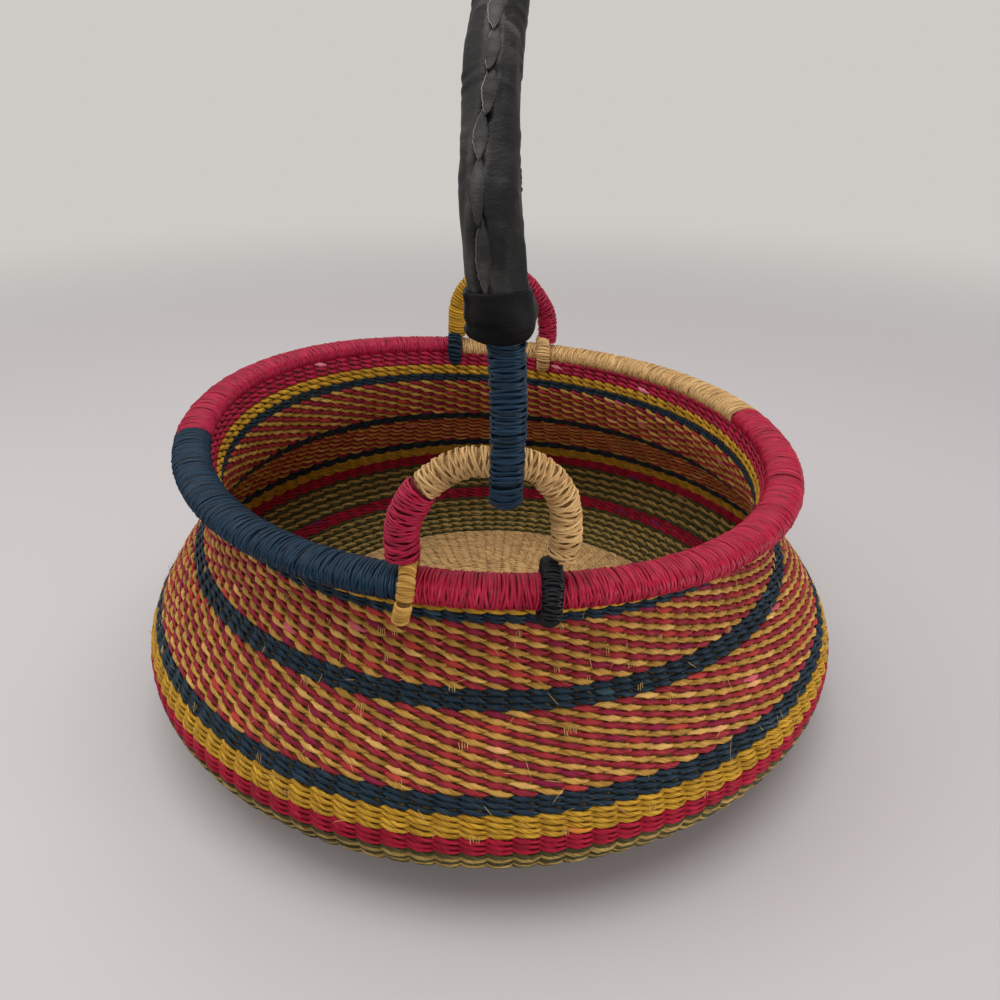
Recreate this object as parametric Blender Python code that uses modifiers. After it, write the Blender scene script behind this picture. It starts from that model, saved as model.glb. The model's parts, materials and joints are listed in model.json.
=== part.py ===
"""A round twined basket with a wrapped rim, two rim loops and a swinging leather-covered handle.

Metres, +Z up. The origin is the middle of the underside of the base. The front loop is on the
-Y side and the back loop on the +Y side. The handle stands upright and turns about the line
through the middles of the two loops.
"""
import math

import bmesh
import bpy
import numpy as np
from mathutils import Matrix, Vector

# Body
BELLY_RADIUS = 0.207
FLOOR_WIDTH = 0.061
NECK_INSET = 0.0083
WALL = 0.0045
SEAM = 0.0003
ROW = 0.003
FURROW = 0.0015

# Rim
RIM_RADIUS = 0.168
RIM_HEIGHT = 0.1525
RIM_WIDTH = 0.0204
RIM_DEPTH = 0.0154
RIM_WRAP = 0.0012

# Sway of the rim, which a handmade basket has and which dies out at the belly
RIM_TILT = 0.0075
RIM_TWIST = 0.0012
RIM_WAVE = 0.0015
RIM_SKEW = 0.0025
RIM_EGG = 0.001

# Rim loops and the ties that hold them down
LOOP_RADIUS = 0.0332
LOOP_THICKNESS = 0.014
LOOP_WRAP = 0.0012
HINGE_RISE = 0.0262
BACK_LOOP_SHIFT = 0.006
TIE_WIDTH = 0.0112
TIE_THICKNESS = 0.0064

# Eyes of the handle, each wound with strands of grass
EYE_CORE = 0.0058
EYE_STRAND = 0.0034
EYE_LENGTH = 0.0623
EYE_PLAY = 0.0006
TURN_GAP = 0.0005
EYE_SLIDE = 0.0058

# Grip
HANDLE_RISE = 0.247
GRIP_WIDTH = 0.0216
GRIP_DEPTH = 0.024
GRIP_TAPER = 0.09
LEATHER = 0.0018
CUFF_LENGTH = 0.028
CUFF_LEATHER = 0.001
LACE = 0.0012
LACE_WIDTH = 0.0056
LACE_PITCH = 0.0175

# How finely round things are cut
BASKET_SIDES = 40
RIM_SIDES = 12
TUBE_SIDES = 8
GRIP_SIDES = 12
POINTS_A_TURN = 8
POINTS_A_SPAN = 2

# Outline of the body, from the neck down: share of the swell, share of the rim's height, and the
# stripe of the weave that ends at this point, if one does.
NECK_shares = (
    (0.008, 0.888, "neck_rows"), (0.004, 0.858, "neck_navy_row"),
    (0.082, 0.764, None), (0.216, 0.675, "upper_mixed_band"), (0.347, 0.631, "upper_navy_band"),
    (0.590, 0.541, None), (0.808, 0.444, "lower_mixed_band"), (0.905, 0.397, "lower_navy_band"),
    (0.987, 0.331, "yellow_band"), (1.0, 0.271, "pink_band"),
)
FOOT_shares = (
    (0.936, 0.193, None), (0.755, 0.120, "olive_turn"), (0.623, 0.085, "pink_floor_ring"),
    (0.360, 0.037, None), (0.0, 0.0, "olive_floor_ring"),
)
NECK_FLARE_share = 0.028

# The stripe that bends most, which is cut finer, and the widest one, which shows ribs of rows
TIGHTEST = "olive_turn"
RIBBED = "lower_mixed_band"
CUTS_A_RIB = 2
RIB_SPAN_CUTS = 3

# Where the base's ribs of rows end, as shares of its radius
BASE_RIB_shares = (0.33, 0.68)

# Coloured lengths of the rim's wrap: name, and the shares of a turn where each starts and ends.
RIM_WRAP_shares = (
    ("rim_wrap_red", -101.4 / 360, 16.5 / 360),
    ("rim_wrap_natural", 16.5 / 360, 98 / 360),
    ("rim_wrap_magenta", 98 / 360, 182 / 360),
    ("rim_wrap_navy", 182 / 360, 258.6 / 360),
)

# Handle's middle line above its cuffs: (share of the half span, share of the rise above them).
ARCH_shares = ((0.966, 0.140), (0.885, 0.266), (0.62, 0.583), (0.33, 0.862), (0.0, 1.0))

# Widths of one lens of the lace, from the slit where it dips under the leather
LENS_shares = (0.24, 0.9, 0.94)


# Dyes of the grass, and the leather, as shares of red, green and blue
DYE_shares = {
    "magenta": (0.42, 0.02, 0.12),
    "pink": (0.45, 0.01, 0.09),
    "crimson": (0.55, 0.01, 0.06),
    "navy": (0.01, 0.03, 0.06),
    "yellow": (0.52, 0.31, 0.03),
    "mixed": (0.45, 0.13, 0.05),
    "olive": (0.16, 0.14, 0.04),
    "natural": (0.50, 0.31, 0.13),
    "straw": (0.45, 0.33, 0.17),
    "charcoal": (0.03, 0.03, 0.03),
}
DYES = {
    "neck_rows": "magenta", "neck_navy_row": "navy", "upper_mixed_band": "mixed",
    "upper_navy_band": "navy", "lower_mixed_band": "mixed", "lower_navy_band": "navy",
    "yellow_band": "yellow", "pink_band": "pink", "olive_turn": "olive",
    "pink_floor_ring": "pink", "olive_floor_ring": "olive", "base_disc": "natural",
    "rim_core": "straw", "rim_wrap_red": "crimson", "rim_wrap_natural": "natural",
    "rim_wrap_magenta": "magenta", "rim_wrap_navy": "navy", "front_left_tie": "yellow",
    "front_right_tie": "navy", "back_left_tie": "navy", "back_right_tie": "natural",
    "front_loop_core": "straw", "front_loop_wrap_pink": "magenta",
    "front_loop_wrap_natural": "natural", "back_loop_core": "straw",
    "back_loop_wrap_yellow": "yellow", "back_loop_wrap_pink": "magenta",
    "handle_core": "straw", "front_eye_outer_wrap": "navy", "front_eye_inner_wrap": "navy",
    "back_eye_outer_wrap": "navy", "back_eye_inner_wrap": "navy", "leather_grip": "charcoal",
    "front_cuff": "charcoal", "back_cuff": "charcoal", "grip_lacing": "charcoal",
}


def clear_scene():
    """Remove what the startup file holds."""
    for thing in list(bpy.data.objects):
        bpy.data.objects.remove(thing, do_unlink=True)


def collection(name):
    """A new collection in the scene."""
    made = bpy.data.collections.new(name)
    bpy.context.scene.collection.children.link(made)
    return made


def finish(name, roughness=0.75):
    """A plain Principled material in the piece's own dye."""
    colour = DYE_shares[DYES[name]]
    material = bpy.data.materials.new(name)
    material.use_nodes = True
    shader = material.node_tree.nodes["Principled BSDF"]
    shader.inputs["Base Color"].default_value = (*colour, 1)
    shader.inputs["Roughness"].default_value = roughness
    shader.inputs["Metallic"].default_value = 0
    material.diffuse_color = (*colour, 1)
    return material


def place(name, data, group, parent=None):
    """An object of this mesh or curve in the group, with its own material."""
    thing = bpy.data.objects.new(name, data)
    group.objects.link(thing)
    data.materials.clear()
    data.materials.append(finish(name))
    thing.parent = parent
    return thing


def baked(thing, weld=SEAM / 10):
    """Swap a curve, or a mesh with modifiers, for its finished mesh."""
    bpy.context.view_layer.update()
    evaluated = thing.evaluated_get(bpy.context.evaluated_depsgraph_get())
    mesh = bpy.data.meshes.new_from_object(evaluated)
    build = bmesh.new()
    build.from_mesh(mesh)
    bmesh.ops.remove_doubles(build, verts=build.verts, dist=weld)
    bmesh.ops.recalc_face_normals(build, faces=build.faces)
    build.to_mesh(mesh)
    build.free()
    swapped = bpy.data.objects.new(thing.name, mesh)
    for group in thing.users_collection:
        group.objects.link(swapped)
    swapped.parent = thing.parent
    swapped.matrix_world = thing.matrix_world
    name = thing.name
    bpy.data.objects.remove(thing, do_unlink=True)
    swapped.name = name
    return swapped


def smooth(thing, angle=math.radians(35)):
    """Shade a finished mesh smooth, apart from its sharp edges."""
    thing.data.shade_smooth()
    thing.data.set_sharp_from_angle(angle=angle)
    return thing


def add_shell(thing, thickness):
    """Give an open surface its thickness, inwards."""
    shell = thing.modifiers.new("Thickness", "SOLIDIFY")
    shell.thickness = thickness
    shell.offset = -1
    shell.use_even_offset = True
    return thing


def add_screw(thing, steps, angle=2 * math.pi):
    """Turn a profile about Z."""
    screw = thing.modifiers.new("Turn", "SCREW")
    screw.axis = "Z"
    screw.angle = angle
    screw.steps = steps
    screw.render_steps = steps
    screw.use_merge_vertices = angle == 2 * math.pi
    screw.merge_threshold = SEAM / 10
    return thing


def profile_mesh(name, points, closed=True):
    """A profile in the XZ plane, for turning."""
    mesh = bpy.data.meshes.new(name)
    count = len(points)
    edges = [(i, (i + 1) % count) for i in range(count if closed else count - 1)]
    mesh.from_pydata([(radius, 0, height) for radius, height in points], edges, [])
    return mesh


def poly_curve(name, points, radius, resolution, caps=True, closed=False, shares=None):
    """A round tube along straight runs between points."""
    curve = bpy.data.curves.new(name, "CURVE")
    curve.dimensions = "3D"
    curve.bevel_depth = radius
    curve.bevel_resolution = resolution
    curve.use_fill_caps = caps
    spline = curve.splines.new("POLY")
    spline.points.add(len(points) - 1)
    for i, point in enumerate(points):
        spline.points[i].co = (*point, 1)
        spline.points[i].radius = shares[i] if shares is not None else 1
    spline.use_cyclic_u = closed
    return curve


def smooth_line(stations, cuts):
    """Points on a smooth line through the stations, with its direction at each point."""
    points = np.array(stations, float)
    spans = np.linalg.norm(np.diff(points, axis=0), axis=1)
    slopes = np.diff(points, axis=0) / spans[:, None]
    inner = (slopes[:-1] * spans[1:, None] + slopes[1:] * spans[:-1, None])
    inner /= (spans[:-1] + spans[1:])[:, None]
    tangents = np.vstack([slopes[:1], inner, slopes[-1:]])
    line, along = [], []
    for i, span in enumerate(spans):
        last = i == len(spans) - 1
        for share in np.linspace(0, 1, cuts[i] + 1)[: None if last else -1]:
            a, b = points[i], points[i + 1]
            u, v = tangents[i] * span, tangents[i + 1] * span
            rise = (2 * share**3 - 3 * share**2 + 1, share**3 - 2 * share**2 + share,
                    3 * share**2 - 2 * share**3, share**3 - share**2)
            slope = (6 * share**2 - 6 * share, 3 * share**2 - 4 * share + 1,
                     6 * share - 6 * share**2, 3 * share**2 - 2 * share)
            line.append(rise[0] * a + rise[1] * u + rise[2] * b + rise[3] * v)
            way = slope[0] * a + slope[1] * u + slope[2] * b + slope[3] * v
            along.append(way / np.linalg.norm(way))
    return np.array(line), np.array(along)


def ease(share):
    """A smooth step from 0 to 1."""
    held = min(max(share, 0), 1)
    return held * held * (3 - 2 * held)


def sway(x, y, z):
    """Where a point of the true round basket lies on the handmade one."""
    turn = math.atan2(y, x)
    start = NECK_shares[-1][1] * RIM_HEIGHT
    reach = min(max((z - start) / (RIM_HEIGHT - start), 0), 1)
    out = reach * (RIM_EGG * math.sin(3 * turn) - RIM_SKEW * math.sin(2 * turn))
    up = reach * (RIM_WAVE * math.sin(3 * turn) - RIM_TILT * math.cos(turn)
                  - RIM_TWIST * math.sin(2 * turn))
    return Vector((x + out * math.cos(turn), y + out * math.sin(turn), z + up))


def sway_mesh(thing):
    """Move a finished mesh with the sway of the basket."""
    for vertex in thing.data.vertices:
        world = thing.matrix_world @ vertex.co
        vertex.co = thing.matrix_world.inverted() @ sway(*world)
    return thing


def rim_point(degrees):
    """A point of the rim's centre line."""
    turn = math.radians(degrees)
    return sway(RIM_RADIUS * math.cos(turn), RIM_RADIUS * math.sin(turn), RIM_HEIGHT)


def base_radius():
    """The outer radius of the flat base, inside the ring of floor under the belly."""
    return BELLY_RADIUS - FLOOR_WIDTH


def body_stations():
    """The outer outline from the top edge of the neck to the edge of the base."""
    neck, base = RIM_RADIUS - NECK_INSET, base_radius()
    swell = BELLY_RADIUS - neck
    top_radius = neck + NECK_FLARE_share * swell
    across = (RIM_RADIUS - top_radius) / (RIM_WIDTH / 2)
    top_height = RIM_HEIGHT - RIM_DEPTH / 2 * math.sqrt(max(1 - across**2, 0)) - SEAM
    stations = [(top_radius, top_height)]
    stations += [(neck + out * swell, up * RIM_HEIGHT) for out, up, _ in NECK_shares]
    stations += [(base + out * FLOOR_WIDTH, up * RIM_HEIGHT) for out, up, _ in FOOT_shares]
    return stations


def stripe_spans():
    """Each stripe's name with the outline points where it starts and ends."""
    first = 0
    for last, (_, _, name) in enumerate(NECK_shares + FOOT_shares, 1):
        if name:
            yield name, first, last
            first = last


def ribbed(outer, way, inward):
    """An outline whose rows lie in ribs, with a furrow one row wide past each rib."""
    points = [outer[0]]
    for crest in range(CUTS_A_RIB, len(outer) - 1, CUTS_A_RIB):
        points += [outer[crest], outer[crest] + way[crest] * ROW + inward[crest] * FURROW]
    return points + [outer[-1]]


def add_stripe(group, name, first, last):
    """One coloured stripe of the weave: a turned wall that stops half a seam short of the next."""
    stations = body_stations()
    every = [1] * (len(stations) - 1)
    if name == TIGHTEST:
        every[first:last] = [POINTS_A_SPAN] * (last - first)
    if name == RIBBED:
        every[first:last] = [RIB_SPAN_CUTS] * (last - first)
    line, along = smooth_line(stations, every)
    start = sum(every[:first])
    end = start + sum(every[first:last])
    outer = line[start:end + 1].copy()
    way = along[start:end + 1]
    outer[0] += way[0] * SEAM / 2
    outer[-1] -= way[-1] * SEAM / 2
    inward = np.stack([way[:, 1], -way[:, 0]], axis=1)
    inner = outer + inward * WALL
    if name == RIBBED:
        outer = ribbed(outer, way, inward)
        inner = inner[::RIB_SPAN_CUTS]
    section = [tuple(point) for point in outer] + [tuple(point) for point in inner[::-1]]
    thing = place(name, profile_mesh(name, section), group)
    add_screw(thing, BASKET_SIDES)
    return smooth(sway_mesh(baked(thing)))


def add_base_disc(group):
    """The natural disc that the basket stands on, whose rows lie in ribs on both its faces."""
    _, along = smooth_line(body_stations(), [1] * (len(body_stations()) - 1))
    lean, rise = along[-1][1] * WALL, -along[-1][0] * WALL
    edge = base_radius() - SEAM
    under = [(0, 0)]
    for share in BASE_RIB_shares:
        under += [(share * edge, 0), (share * edge + ROW, FURROW)]
    upper = [(radius, rise - height) for radius, height in under]
    section = upper + [(edge + lean, rise), (edge, 0)] + under[::-1]
    disc = place("base_disc", profile_mesh("base_disc", section, closed=False), group)
    add_screw(disc, BASKET_SIDES)
    return smooth(baked(disc))


def rim_section(half_width, half_depth, sides=RIM_SIDES):
    """The rim's oval section, clockwise from its top."""
    turns = [2 * math.pi * i / sides for i in range(sides)]
    return [(RIM_RADIUS + half_width * math.sin(turn), RIM_HEIGHT + half_depth * math.cos(turn))
            for turn in turns]


def add_rim(group):
    """The straw core of the rim and the coloured lengths of grass wrapped round it."""
    facet = (RIM_RADIUS + RIM_WIDTH / 2) * (1 - math.cos(math.pi / BASKET_SIDES))
    inset = RIM_WRAP + SEAM + facet
    section = rim_section(RIM_WIDTH / 2 - inset, RIM_DEPTH / 2 - inset, TUBE_SIDES)
    core = place("rim_core", profile_mesh("rim_core", section), group)
    add_screw(core, BASKET_SIDES)
    smooth(sway_mesh(baked(core)))
    half_seam = math.degrees(SEAM / 2 / (RIM_RADIUS - RIM_WIDTH / 2))
    for name, first, last in RIM_WRAP_shares:
        start, end = 360 * first, 360 * last
        section = rim_section(RIM_WIDTH / 2, RIM_DEPTH / 2)
        wrap = place(name, profile_mesh(name, section), group)
        arc = end - start - 2 * half_seam
        add_screw(wrap, round(BASKET_SIDES * arc / 360), math.radians(arc))
        add_shell(wrap, RIM_WRAP)
        wrap.rotation_euler.z = math.radians(start + half_seam)
        smooth(sway_mesh(baked(wrap)))


def loop_places():
    """The middle of each loop on the rim's line, and the angles of its two feet."""
    spread = math.degrees(math.asin(LOOP_RADIUS / RIM_RADIUS))
    back = 90 - math.degrees(math.asin(BACK_LOOP_SHIFT / RIM_RADIUS))
    places = {}
    for side, middle in (("front", -90), ("back", back)):
        left = middle - spread if side == "front" else middle + spread
        right = middle + spread if side == "front" else middle - spread
        chord = (rim_point(left) + rim_point(right)) / 2
        places[side] = (chord, left, right)
    return places


def hinge_frame():
    """The hinge's middle, its direction as a matrix whose Y runs front to back, and half its span."""
    places = loop_places()
    front, back = places["front"][0], places["back"][0]
    middle = (front + back) / 2
    middle.z = RIM_HEIGHT + HINGE_RISE
    run = Vector((back.x - front.x, back.y - front.y, 0))
    turn = -math.atan2(run.x, run.y)
    return Matrix.Translation(middle) @ Matrix.Rotation(turn, 4, "Z"), run.length / 2


def add_ties(group, cutters):
    """A ring of wrapped grass round the rim at each foot, and the fatter ring that clears it."""
    major = RIM_WIDTH / 2 + 2 * SEAM + TIE_THICKNESS / 2
    squeeze = (RIM_DEPTH / 2 + 2 * SEAM + TIE_THICKNESS / 2) / major
    tops, slots = {}, []
    for side, (_, left, right) in loop_places().items():
        for hand, degrees in (("left", left), ("right", right)):
            key = f"{side}_{hand}"
            middle = rim_point(degrees)
            for spare in (0, 2 * SEAM):
                minor = TIE_THICKNESS / 2 + spare
                stretch = (TIE_WIDTH / 2 + spare) / minor
                bpy.ops.mesh.primitive_torus_add(major_radius=major, minor_radius=minor,
                                                 major_segments=2 * TUBE_SIDES, minor_segments=TUBE_SIDES)
                ring = bpy.context.object
                stand = (Matrix.Translation(middle)
                         @ Matrix.Rotation(math.radians(degrees), 4, "Z")
                         @ Matrix.Rotation(math.radians(90), 4, "X")
                         @ Matrix.Diagonal((1, squeeze, stretch, 1)))
                ring.data.transform(stand)
                for old in list(ring.users_collection):
                    old.objects.unlink(ring)
                if spare:
                    ring.name = f"{key}_tie_slot"
                    ring.hide_render = True
                    ring.display_type = "WIRE"
                    cutters.objects.link(ring)
                    slots.append(ring)
                else:
                    ring.name = f"{key}_tie"
                    ring.data.materials.append(finish(ring.name))
                    group.objects.link(ring)
                    smooth(ring, math.radians(80))
                    tops[key] = middle.z + squeeze * (major + minor)
    return tops, slots


def cut_slots(thing, slots):
    """Open the neck's top rows where the ties go through."""
    for slot in slots:
        cut = thing.modifiers.new(slot.name, "BOOLEAN")
        cut.operation = "DIFFERENCE"
        cut.object = slot
        cut.solver = "EXACT"


def arch_points(foot_left, foot_right, start, end):
    """Points of a loop from one angle to another in the hinge's XZ plane, with its straight legs.

    An angle of 180 degrees and more stands for the left foot, and 0 and less for the right foot.
    A free end runs straight a little, so that it is cut square.
    """
    points = []
    if start >= 180:
        points.append((-LOOP_RADIUS, foot_left))
    steps = max(round((start - end) / 15), 1)
    turns = [math.radians(degrees) for degrees in np.linspace(start, end, steps + 1)]
    points += [(LOOP_RADIUS * math.cos(turn), LOOP_RADIUS * math.sin(turn)) for turn in turns]
    if start < 180:
        (x, z), turn = points[0], turns[0]
        points.insert(1, (x + LOOP_WRAP * math.sin(turn), z - LOOP_WRAP * math.cos(turn)))
    if end > 0:
        (x, z), turn = points[-1], turns[-1]
        points.insert(-1, (x - LOOP_WRAP * math.sin(turn), z + LOOP_WRAP * math.cos(turn)))
    else:
        points.append((LOOP_RADIUS, foot_right))
    return points


def add_loop(group, hinge, half_span, side, tops, wraps):
    """One loop: its straw core and the coloured lengths of grass wrapped round it."""
    y = -half_span if side == "front" else half_span
    feet = {}
    for hand, x in (("left", -LOOP_RADIUS), ("right", LOOP_RADIUS)):
        feet[hand] = tops[f"{side}_{hand}"] + SEAM - hinge.translation.z
    core_radius = LOOP_THICKNESS / 2 - LOOP_WRAP - SEAM
    line = arch_points(feet["left"], feet["right"], 180, 0)
    points = [(x, y, z) for x, z in line]
    name = f"{side}_loop_core"
    core = place(name, poly_curve(name, points, core_radius, 2), group)
    core.matrix_world = hinge
    smooth(baked(core))
    for label, start, end in wraps:
        name = f"{side}_loop_wrap_{label}"
        half_seam = math.degrees(SEAM / 2 / (LOOP_RADIUS - LOOP_THICKNESS / 2))
        start = start if start >= 180 else start - half_seam
        end = end if end <= 0 else end + half_seam
        points = [(x, y, z) for x, z in arch_points(feet["left"], feet["right"], start, end)]
        curve = poly_curve(name, points, LOOP_THICKNESS / 2, 2, caps=False)
        wrap = place(name, curve, group)
        wrap.matrix_world = hinge
        wrap = baked(wrap)
        add_shell(wrap, LOOP_WRAP)
        smooth(wrap)


def turn_radius():
    """From the eye's middle line to the middle of the strand wound round it."""
    flat = math.cos(math.pi / POINTS_A_TURN)
    return (EYE_CORE / 2 + SEAM + EYE_STRAND / 2) / flat


def eye_sizes():
    """The eye's outer radius, the radius of its bend, and how far its middle lines stand off."""
    radius = turn_radius() + EYE_STRAND / 2
    bend = LOOP_THICKNESS / 2 + EYE_PLAY + radius
    return radius, bend, radius + SEAM


def eye_height():
    """Where the middle of the eye's bend lies above the hinge, when the eye has slid sideways."""
    radius, bend, _ = eye_sizes()
    reach = LOOP_RADIUS - LOOP_THICKNESS / 2 - EYE_PLAY - radius
    return math.sqrt(reach**2 - EYE_SLIDE**2) + bend


def eye_line(share_count):
    """Half an eye from the bottom of its bend to its cuff: (stand-off, height) and direction."""
    _, bend, close = eye_sizes()
    middle = eye_height()
    top = middle + EYE_LENGTH - bend
    points = []
    for turn in np.linspace(-math.pi / 2, 0, share_count):
        points.append((bend * math.cos(turn), middle + bend * math.sin(turn)))
    for share in np.linspace(0, 1, share_count)[1:]:
        points.append((bend + (close - bend) * ease(share), middle + (top - middle) * share))
    line = np.array(points)
    along = np.gradient(line, axis=0)
    return line, along / np.linalg.norm(along, axis=1)[:, None]


def winding_points():
    """The strand wound round half an eye, about the eye's plane: x, stand-off, height."""
    line, along = eye_line(400)
    length = np.concatenate([[0], np.cumsum(np.linalg.norm(np.diff(line, axis=0), axis=1))])
    heading = np.unwrap(np.arctan2(along[:, 1], along[:, 0]))
    bending = np.abs(np.gradient(heading, length))
    radius = turn_radius()
    pitch = (EYE_STRAND + TURN_GAP) / (1 - radius * np.minimum(bending, 1 / eye_sizes()[1]))
    turns = np.concatenate([[0], np.cumsum(np.diff(length) / ((pitch[1:] + pitch[:-1]) / 2))])
    run = EYE_STRAND + SEAM
    first = np.interp(run, length, turns)
    last = np.interp(length[-1] - run, length, turns)
    count = int((last - first) * POINTS_A_TURN)
    marks = [np.interp(SEAM / 2, length, turns)]
    marks += list(first + np.arange(count + 1) / POINTS_A_TURN)
    phases = [0] + list(2 * math.pi * np.arange(count + 1) / POINTS_A_TURN)
    points = []
    for mark, phase in zip(marks, phases):
        at = np.interp(mark, turns, length)
        spot = [np.interp(at, length, line[:, k]) for k in (0, 1)]
        way = [np.interp(at, length, along[:, k]) for k in (0, 1)]
        outward = (way[1], -way[0])
        stand = radius * math.cos(phase)
        points.append((radius * math.sin(phase), spot[0] + stand * outward[0],
                       spot[1] + stand * outward[1]))
    end = np.array(points[-1])
    points.append(tuple(end + EYE_STRAND * np.array([0, way[0], way[1]])))
    return points, count / POINTS_A_TURN


def least_gap(points, thickness):
    """The least space between turns of one tube, measured between the runs of its line."""
    line = np.array(points)
    fine = np.concatenate([np.linspace(a, b, 6)[:-1] for a, b in zip(line[:-1], line[1:])])
    skip = 5 * (POINTS_A_TURN - 2)
    least = math.inf
    for i in range(len(fine) - skip):
        far = np.linalg.norm(fine[i + skip:] - fine[i], axis=1)
        least = min(least, float(far.min()))
    return least - thickness


def add_windings(group, pivot, half_span):
    """Each eye's two lengths of wound grass, one on the outer leg and one on the inner leg."""
    points, turns = winding_points()
    gap = least_gap(points, EYE_STRAND)
    print(f"eye winding: {turns:.1f} turns, least gap to itself {gap * 1000:.2f} mm")
    for side, toward in (("front", -1), ("back", 1)):
        for leg, away in (("outer", 1), ("inner", -1)):
            name = f"{side}_eye_{leg}_wrap"
            line = [(x, toward * (half_span + away * y), z) for x, y, z in points]
            curve = poly_curve(name, line, EYE_STRAND / 2, 1)
            wrap = place(name, curve, group, pivot)
            smooth(baked(wrap), math.radians(70))


def arch_line(half_span, start_height, cuts=POINTS_A_SPAN):
    """The handle's middle line from the front cuff over the top to the back cuff."""
    cuff_top = start_height + CUFF_LENGTH
    stations = [(-half_span, start_height), (-half_span, cuff_top)]
    stations += [(-half_span * out, cuff_top + (HANDLE_RISE - cuff_top) * up)
                 for out, up in ARCH_shares]
    stations += [(-y, z) for y, z in stations[-2::-1]]
    line, along = smooth_line(stations, [cuts] * (len(stations) - 1))
    length = np.concatenate([[0], np.cumsum(np.linalg.norm(np.diff(line, axis=0), axis=1))])
    outward = np.stack([-along[:, 1], along[:, 0]], axis=1)
    return line, outward, length


def grip_depths(length):
    """Half the grip's depth along the handle: full at the cuffs, slimmer in the hand."""
    full = cuff_depth()
    slim = GRIP_DEPTH / 2
    ends = np.minimum(length, length[-1] - length)
    return np.array([full + (slim - full) * ease((end - CUFF_LENGTH) / GRIP_TAPER)
                     for end in ends])


def cuff_depth():
    """Half the grip's depth at a cuff, where both legs of the eye go in side by side."""
    return 2 * eye_sizes()[2] + SEAM + LEATHER


def add_handle_core(group, pivot, half_span):
    """One endless bundle of straw: an eye at each end and two strands side by side between."""
    eye, _ = eye_line(6)
    line, outward, length = arch_line(half_span, eye[-1][1])
    depths = grip_depths(length)
    offset = (depths - LEATHER - SEAM) / 2
    thick = 1 - SEAM / 2 / offset
    thin = EYE_CORE / 2
    outer = line + outward * offset[:, None]
    inner = line - outward * offset[:, None]
    radii = list(offset * thick)
    radii[0] = radii[-1] = thin
    front = [(-half_span - y, z) for y, z in eye[:-1]]
    back = [(-y, z) for y, z in front]
    inside_front = [(-half_span + y, z) for y, z in eye[1:-1]]
    inside_back = [(-y, z) for y, z in inside_front]
    ring = front + list(map(tuple, outer)) + back[::-1] + inside_back
    ring += list(map(tuple, inner[::-1])) + inside_front[::-1]
    sizes = [thin] * len(front) + radii + [thin] * (len(back) + len(inside_back))
    sizes += radii[::-1] + [thin] * len(inside_front)
    curve = poly_curve("handle_core", [(0, y, z) for y, z in ring], thin, 1, closed=True,
                       shares=[size / thin for size in sizes])
    core = place("handle_core", curve, group, pivot)
    return smooth(baked(core))


def edge_reach(turn, half_width, half_depth):
    """How far a point of a sleeve's section lies from its middle, along its depth."""
    lean = math.cos(turn)
    flat = 0 if abs(lean) < SEAM else math.copysign(half_depth - half_width, lean)
    return flat + half_width * lean


def oval_sleeve(name, line, outward, half_width, half_depths, thickness, group, pivot):
    """A sleeve along a line, open at both ends, round at both edges and flatter at its sides."""
    build = bmesh.new()
    rings = []
    for (y, z), (out_y, out_z), half_depth in zip(line, outward, half_depths):
        ring = []
        for i in range(GRIP_SIDES):
            turn = 2 * math.pi * i / GRIP_SIDES
            off = edge_reach(turn, half_width, half_depth)
            ring.append(build.verts.new((half_width * math.sin(turn), y + off * out_y,
                                         z + off * out_z)))
        rings.append(ring)
    for a, b in zip(rings[:-1], rings[1:]):
        for i in range(GRIP_SIDES):
            j = (i + 1) % GRIP_SIDES
            build.faces.new((a[i], a[j], b[j], b[i]))
    bmesh.ops.recalc_face_normals(build, faces=build.faces)
    mesh = bpy.data.meshes.new(name)
    build.to_mesh(mesh)
    build.free()
    sleeve = place(name, mesh, group, pivot)
    return smooth(add_shell(sleeve, thickness))


def add_grip(group, pivot, half_span):
    """The leather grip, its two folded cuffs and the lace along its outer face."""
    start = eye_line(6)[0][-1][1]
    line, outward, length = arch_line(half_span, start)
    depths = grip_depths(length)
    inside = slice(1, -1)
    oval_sleeve("leather_grip", line[inside], outward[inside], GRIP_WIDTH / 2, depths[inside],
                LEATHER, group, pivot)

    spare = SEAM + CUFF_LEATHER
    for name, held in (("front_cuff", slice(None, POINTS_A_SPAN + 1)),
                       ("back_cuff", slice(-POINTS_A_SPAN - 1, None))):
        oval_sleeve(name, line[held], outward[held], GRIP_WIDTH / 2 + spare, depths[held] + spare,
                    CUFF_LEATHER, group, pivot)

    add_lace(group, pivot, half_span, start)


def add_lace(group, pivot, half_span, start):
    """The flat thong that laces the leather shut: a chain of lenses along the outer face."""
    line, outward, length = arch_line(half_span, start, 20 * POINTS_A_SPAN)
    depths = grip_depths(length)
    clear = CUFF_LENGTH + CUFF_LEATHER + SEAM
    run = length[-1] - 2 * clear
    cuts = round(run / LACE_PITCH) * len(LENS_shares)
    build = bmesh.new()
    rows = []
    for cut in range(cuts + 1):
        at = clear + run * cut / cuts
        half = LACE_WIDTH / 2 * LENS_shares[cut % len(LENS_shares)]
        spot = [np.interp(at, length, line[:, k]) for k in (0, 1)]
        out = [np.interp(at, length, outward[:, k]) for k in (0, 1)]
        depth = np.interp(at, length, depths)
        row = []
        for across in (-half, 0, half):
            turn = math.asin(across / (GRIP_WIDTH / 2))
            off = edge_reach(turn, GRIP_WIDTH / 2, depth) + SEAM + LACE
            row.append(build.verts.new((across, spot[0] + off * out[0], spot[1] + off * out[1])))
        rows.append(row)
    for a, b in zip(rows[:-1], rows[1:]):
        for left, right in ((0, 1), (1, 2)):
            build.faces.new((a[left], a[right], b[right], b[left]))
    mesh = bpy.data.meshes.new("grip_lacing")
    build.to_mesh(mesh)
    build.free()
    lace = place("grip_lacing", mesh, group, pivot)
    smooth(add_shell(lace, LACE))


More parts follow.
